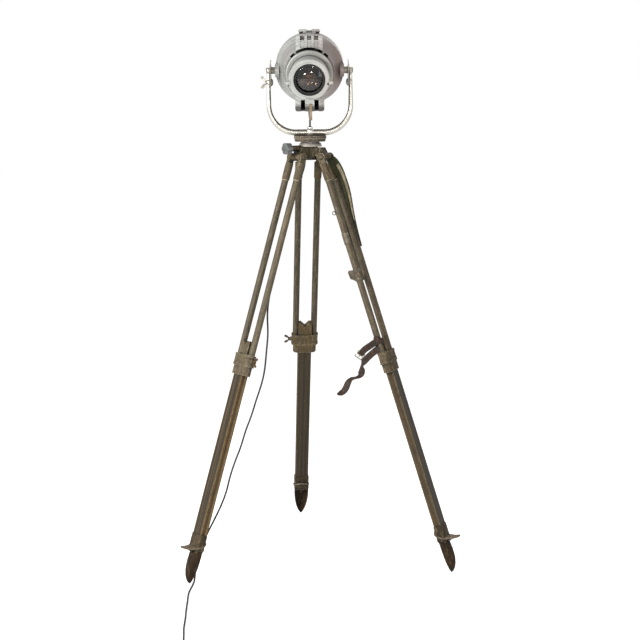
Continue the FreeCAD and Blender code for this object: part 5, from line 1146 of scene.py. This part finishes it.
def build_sling():
    edges = zip(smooth_points(SLING_NEAR_EDGE), smooth_points(SLING_FAR_EDGE))
    stations = [(on_right_leg(*near), on_right_leg(*far)) for near, far in edges]
    band_piece("sling_webbing", [(stations, SLING_THICK, SLING_WAVES)], webbing_finish,
               "webbing_sling")
    lift = RIGHT_LEG.to_3x3() @ Vector((0, -TAPE_LIFT, 0))
    tape = [tuple(near.lerp(far, share) + lift for share in TAPE_EDGES)
            for near, far in stations[TAPE_SPAN]]
    band_piece("sling_edge_tape", [(tape, TAPE_THICK)], webbing_edge)


# the run behind the far tube, down to the clip: (x, y) of both edges, from and to down the leg
SLING_BACK_RUN = ((-22, 40), (-8, 45), 70, 428)
SLING_BACK_STEPS = 20
SLING_SWAY, SLING_SWAY_TURN = 2.0, 5    # millimetres and radians from end to end
SLING_WAVES, SLING_BACK_WAVES = 0.0022, 0.0015
CLIP_SPAN = (384, 427)         # distances down the leg
CLIP_REACH = 32                # from the tube's axis
CLIP_BAND_RADIUS = 12.2
CLIP_BAND_STEPS = 24
CLIP_BAND_START, CLIP_BAND_TURN = 160, 220      # degrees round the tube
CLIP_BAND_HALF, CLIP_BAND_INSET = 6, 8
CLIP_BAND_THICK = 0.0016
CLIP_PLATE_HALF = 1.6


def build_sling_back():
    (near_x, near_y), (far_x, far_y), start, end = SLING_BACK_RUN
    stations = []
    for index in range(SLING_BACK_STEPS + 1):
        share = index / SLING_BACK_STEPS
        down = start + (end - start) * share
        sway = SLING_SWAY * sin(SLING_SWAY_TURN * share)
        stations.append((on_right_leg(near_x + sway, near_y, down),
                         on_right_leg(far_x + sway, far_y + sway, down)))
    band_piece("sling_back_run", [(stations, SLING_THICK, SLING_BACK_WAVES)], webbing_finish)


def build_sling_clip():
    """Small clip on the near tube that holds the sling's lower end."""
    bm = bmesh.new()
    top, bottom = CLIP_SPAN
    tube_y = -TUBE_Y / MM
    for down in (top + CLIP_BAND_INSET, bottom - CLIP_BAND_INSET):
        half_band = []
        for index in range(CLIP_BAND_STEPS + 1):
            angle = radians(CLIP_BAND_START + CLIP_BAND_TURN * index / CLIP_BAND_STEPS)
            x, y = CLIP_BAND_RADIUS * cos(angle), CLIP_BAND_RADIUS * sin(angle) + tube_y
            half_band.append((on_right_leg(x, y, down + CLIP_BAND_HALF),
                              on_right_leg(x, y, down - CLIP_BAND_HALF)))
        add_band(bm, half_band, CLIP_BAND_THICK)
    outer = -CLIP_REACH
    corners = ((-12, top + 3), (outer + 4, top), (outer, top + 6), (outer + 2, bottom - 14),
               (outer + 10, bottom - 10), (-12, bottom))
    skin(bm, [[on_right_leg(x, y + tube_y, down) for x, down in corners]
              for y in (-CLIP_PLATE_HALF, CLIP_PLATE_HALF)])
    closed_piece("sling_clip", bm, fitting_finish, "leg_upper_right", slot="dull_steel", soft=True)


strap_upper, strap_lower = build_strap()
build_sling_back()
build_sling_clip()
build_buckle(strap_upper[-1])
build_sling()


# ---- repeated details
def repeat_tree():
    """Geometry Nodes: a small rounded solid on each point, turned to its way, as plain mesh."""
    tree = bpy.data.node_groups.new("repeat_on_points", "GeometryNodeTree")
    w = Wiring(tree)
    sockets = {"Geometry": "Geometry", "Size": "Vector", "Unevenness": "Float", "Seed": "Int",
               "Finish": "Material"}
    for label, kind in sockets.items():
        tree.interface.new_socket(label, in_out="INPUT", socket_type="NodeSocket" + kind)
    tree.interface.new_socket("Geometry", in_out="OUTPUT", socket_type="NodeSocketGeometry")
    given = w.add("NodeGroupInput").outputs
    solid = w.add("GeometryNodeMeshIcoSphere", {"Radius": 1.0, "Subdivisions": 3}).outputs["Mesh"]
    way = w.add("GeometryNodeInputNamedAttribute", {"Name": "way"},
              data_type="FLOAT_VECTOR").outputs["Attribute"]
    align = w.add("FunctionNodeAlignRotationToVector", {"Vector": way}, axis="Z")
    least = w.minus(1.0, given["Unevenness"])
    vary = w.add("FunctionNodeRandomValue", {"Max": 1.0, "Min": least, "Seed": given["Seed"]},
               data_type="FLOAT").outputs["Value"]
    size = w.add("ShaderNodeVectorMath", {0: given["Size"], "Scale": vary},
               operation="SCALE").outputs["Vector"]
    placed = w.add("GeometryNodeInstanceOnPoints", {
        "Points": given["Geometry"], "Instance": solid, "Rotation": align.outputs["Rotation"],
        "Scale": size}).outputs["Instances"]
    real = w.add("GeometryNodeRealizeInstances", {"Geometry": placed}).outputs["Geometry"]
    paint = w.add("GeometryNodeSetMaterial", {"Geometry": real, "Material": given["Finish"]})
    w.add("NodeGroupOutput", {"Geometry": paint.outputs["Geometry"]})
    return tree


REPEAT = repeat_tree()


def repeated(name, points, ways, size, finish, body, slot, seed=7):
    """One plain mesh of equal small pieces on the given points."""
    mesh = bpy.data.meshes.new(name + "_points")
    mesh.from_pydata([tuple(point) for point in points], [], [])
    attribute = mesh.attributes.new("way", "FLOAT_VECTOR", "POINT")
    for index, way in enumerate(ways):
        attribute.data[index].vector = way
    source = new_object(name + "_points", mesh)
    modifier = source.modifiers.new("repeat", "NODES")
    modifier.node_group = REPEAT
    values = {"Size": size, "Unevenness": 0.15, "Seed": seed, "Finish": finish}
    for item in REPEAT.interface.items_tree:
        if item.in_out == "INPUT" and item.name in values:
            modifier[item.identifier] = values[item.name]
    settle(new_object(name, plain_mesh(source, name)), finish, body, slot=slot)


# heads of screws and rivets, by where the picture shows them
RIVET_SPOTS = [
    (299, 336), (309.5, 337), (293.5, 342), (313.0, 342), (295.5, 351), (312.0, 351), (302, 481.5),
    (240.5, 353.5), (249.5, 358.5), (237.0, 366.0), (250.0, 369.5), (195.5, 537), (380.0, 350.0),
    (390.5, 360), (384.0, 366), (446.0, 529), (290.5, 160.5), (299.5, 167), (317.5, 168.5),
    (323, 157.0),
]
FLANGE_SPOTS = [(289.0, 85.0), (328.0, 84.0)]


def look_through(px, py):
    """First surface behind a pixel: place, normal and the object that is hit."""
    camera = scene.camera
    bpy.context.view_layer.update()
    middle = PHOTO_PIXELS / 2
    focal = camera.data.lens / camera.data.sensor_width * PHOTO_PIXELS
    way = camera.matrix_world.to_3x3() @ Vector(((px - middle) / focal, (middle - py) / focal, -1))
    _, place, normal, _, piece, _ = scene.ray_cast(
        bpy.context.evaluated_depsgraph_get(), camera.matrix_world.translation, way.normalized())
    return place, normal, piece


def body_under(piece):
    """Body that a hit object hangs on."""
    while not piece.name.startswith("body:"):
        piece = piece.parent
    return piece.name.removeprefix("body:")


def build_rivets(name, spots, size):
    by_body = {}
    for px, py in spots:
        place, normal, piece = look_through(px, py)
        by_body.setdefault(body_under(piece), []).append((place, normal))
    for body, found in by_body.items():
        repeated(name + "_" + body, *zip(*found), size, dark_screw_finish, body, "dull_steel")


# half width, half width and height of a head
RIVET_SIZE = (0.0034, 0.0034, 0.0016)
FLANGE_SCREW_SIZE = (0.0040, 0.0040, 0.0018)

build_rivets("rivets", RIVET_SPOTS, RIVET_SIZE)
build_rivets("flange_screws", FLANGE_SPOTS, FLANGE_SCREW_SIZE)

STITCH_SIZE = (0.0005, 0.0005, 0.0020)
STITCH_INSET = 0.14            # share of the strap's width
STITCH_PITCH = 0.0065
STITCH_LIFT = Vector((0, -0.0016, 0))


def stitch_points(stations):
    """(point, way) along both edges of a band, a stitch pitch apart."""
    found = []
    for side in (STITCH_INSET, 1 - STITCH_INSET):
        line = [near.lerp(far, side) for near, far in stations]
        at = 0.0
        for start, end in zip(line, line[1:]):
            step = end - start
            while at < step.length:
                found.append((start + step * (at / step.length) + STITCH_LIFT, step.normalized()))
                at += STITCH_PITCH
            at -= step.length
    return found


strap_stitches = stitch_points(strap_upper) + stitch_points(strap_lower[:-8])
repeated("strap_stitches", *zip(*strap_stitches), STITCH_SIZE, stitch_thread,
         "leg_upper_right", "dark_leather", seed=11)


# ---- cords
def finish_cord(cord, *nodes):
    cord.data.materials.append(rubber_finish)
    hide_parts(*nodes)


finish_cord(stand_cord, "stand_lead", "lead_coil")
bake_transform(stand_cord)
finish_cord(lamp_cord, "lamp_lead")
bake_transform(lamp_cord)


# ---- floor and lights
FLOOR_HALF = 30.0
AMBIENT = 0.24                 # strength of the world's light on the lamp


def seen_straight(w):
    """1 for rays that the camera, a mirror or glass sends; 0 for those that light the scene."""
    rays = w.add("ShaderNodeLightPath").outputs
    mirrored = w.math("MAXIMUM", rays["Is Glossy Ray"], rays["Is Transmission Ray"])
    return w.math("MAXIMUM", rays["Is Camera Ray"], mirrored)


def add_floor():
    bm = bmesh.new()
    bmesh.ops.create_grid(bm, x_segments=1, y_segments=1, size=FLOOR_HALF)
    floor = from_bmesh("floor", bm, smooth=False)
    material, w, shader = new_material("floor_white")
    w.fill(shader, {
        "Base Color": (0.86, 0.86, 0.86, 1), "Roughness": 1.0, "Specular IOR Level": 0.0,
        "Emission Color": (1, 1, 1, 1), "Emission Strength": w.times(seen_straight(w), 0.80)})
    floor.data.materials.append(material)


def add_world():
    world = bpy.data.worlds.new("studio")
    scene.world = world
    world.use_nodes = True
    w = Wiring(world.node_tree)
    w.fill(world.node_tree.nodes["Background"], {
        "Color": (1, 1, 1, 1), "Strength": w.between(seen_straight(w), AMBIENT, 1.0)})


# name, place, point that it faces, width and height, watts
LIGHTS = (
    ("key", (-3.0, -3.1, 2.5), (0, 0, 1.2), (1.1, 1.1), 195),
    ("fill", (2.6, -2.6, 1.6), (0, 0, 0.9), (1.6, 1.6), 18),
    ("back", (0.5, 3.0, 2.2), (0, 0, 1.2), (1.5, 1.0), 12),
    ("window_left", (-1.25, -4.4, 1.42), (0, -0.16, 1.62), (0.42, 0.42), 26),
    ("window_right", (0.58, -4.4, 1.82), (0, -0.16, 1.62), (0.42, 0.42), 26),
)


def add_light(name, place, target, size, power):
    data = bpy.data.lights.new(name, "AREA")
    data.shape = "RECTANGLE"
    data.size, data.size_y = size
    data.energy = power
    light = new_object(name, data)
    light.matrix_world = towards(place, Vector(place) - Vector(target))


add_floor()
add_world()
for light in LIGHTS:
    add_light(*light)

scene.view_settings.view_transform = "Standard"
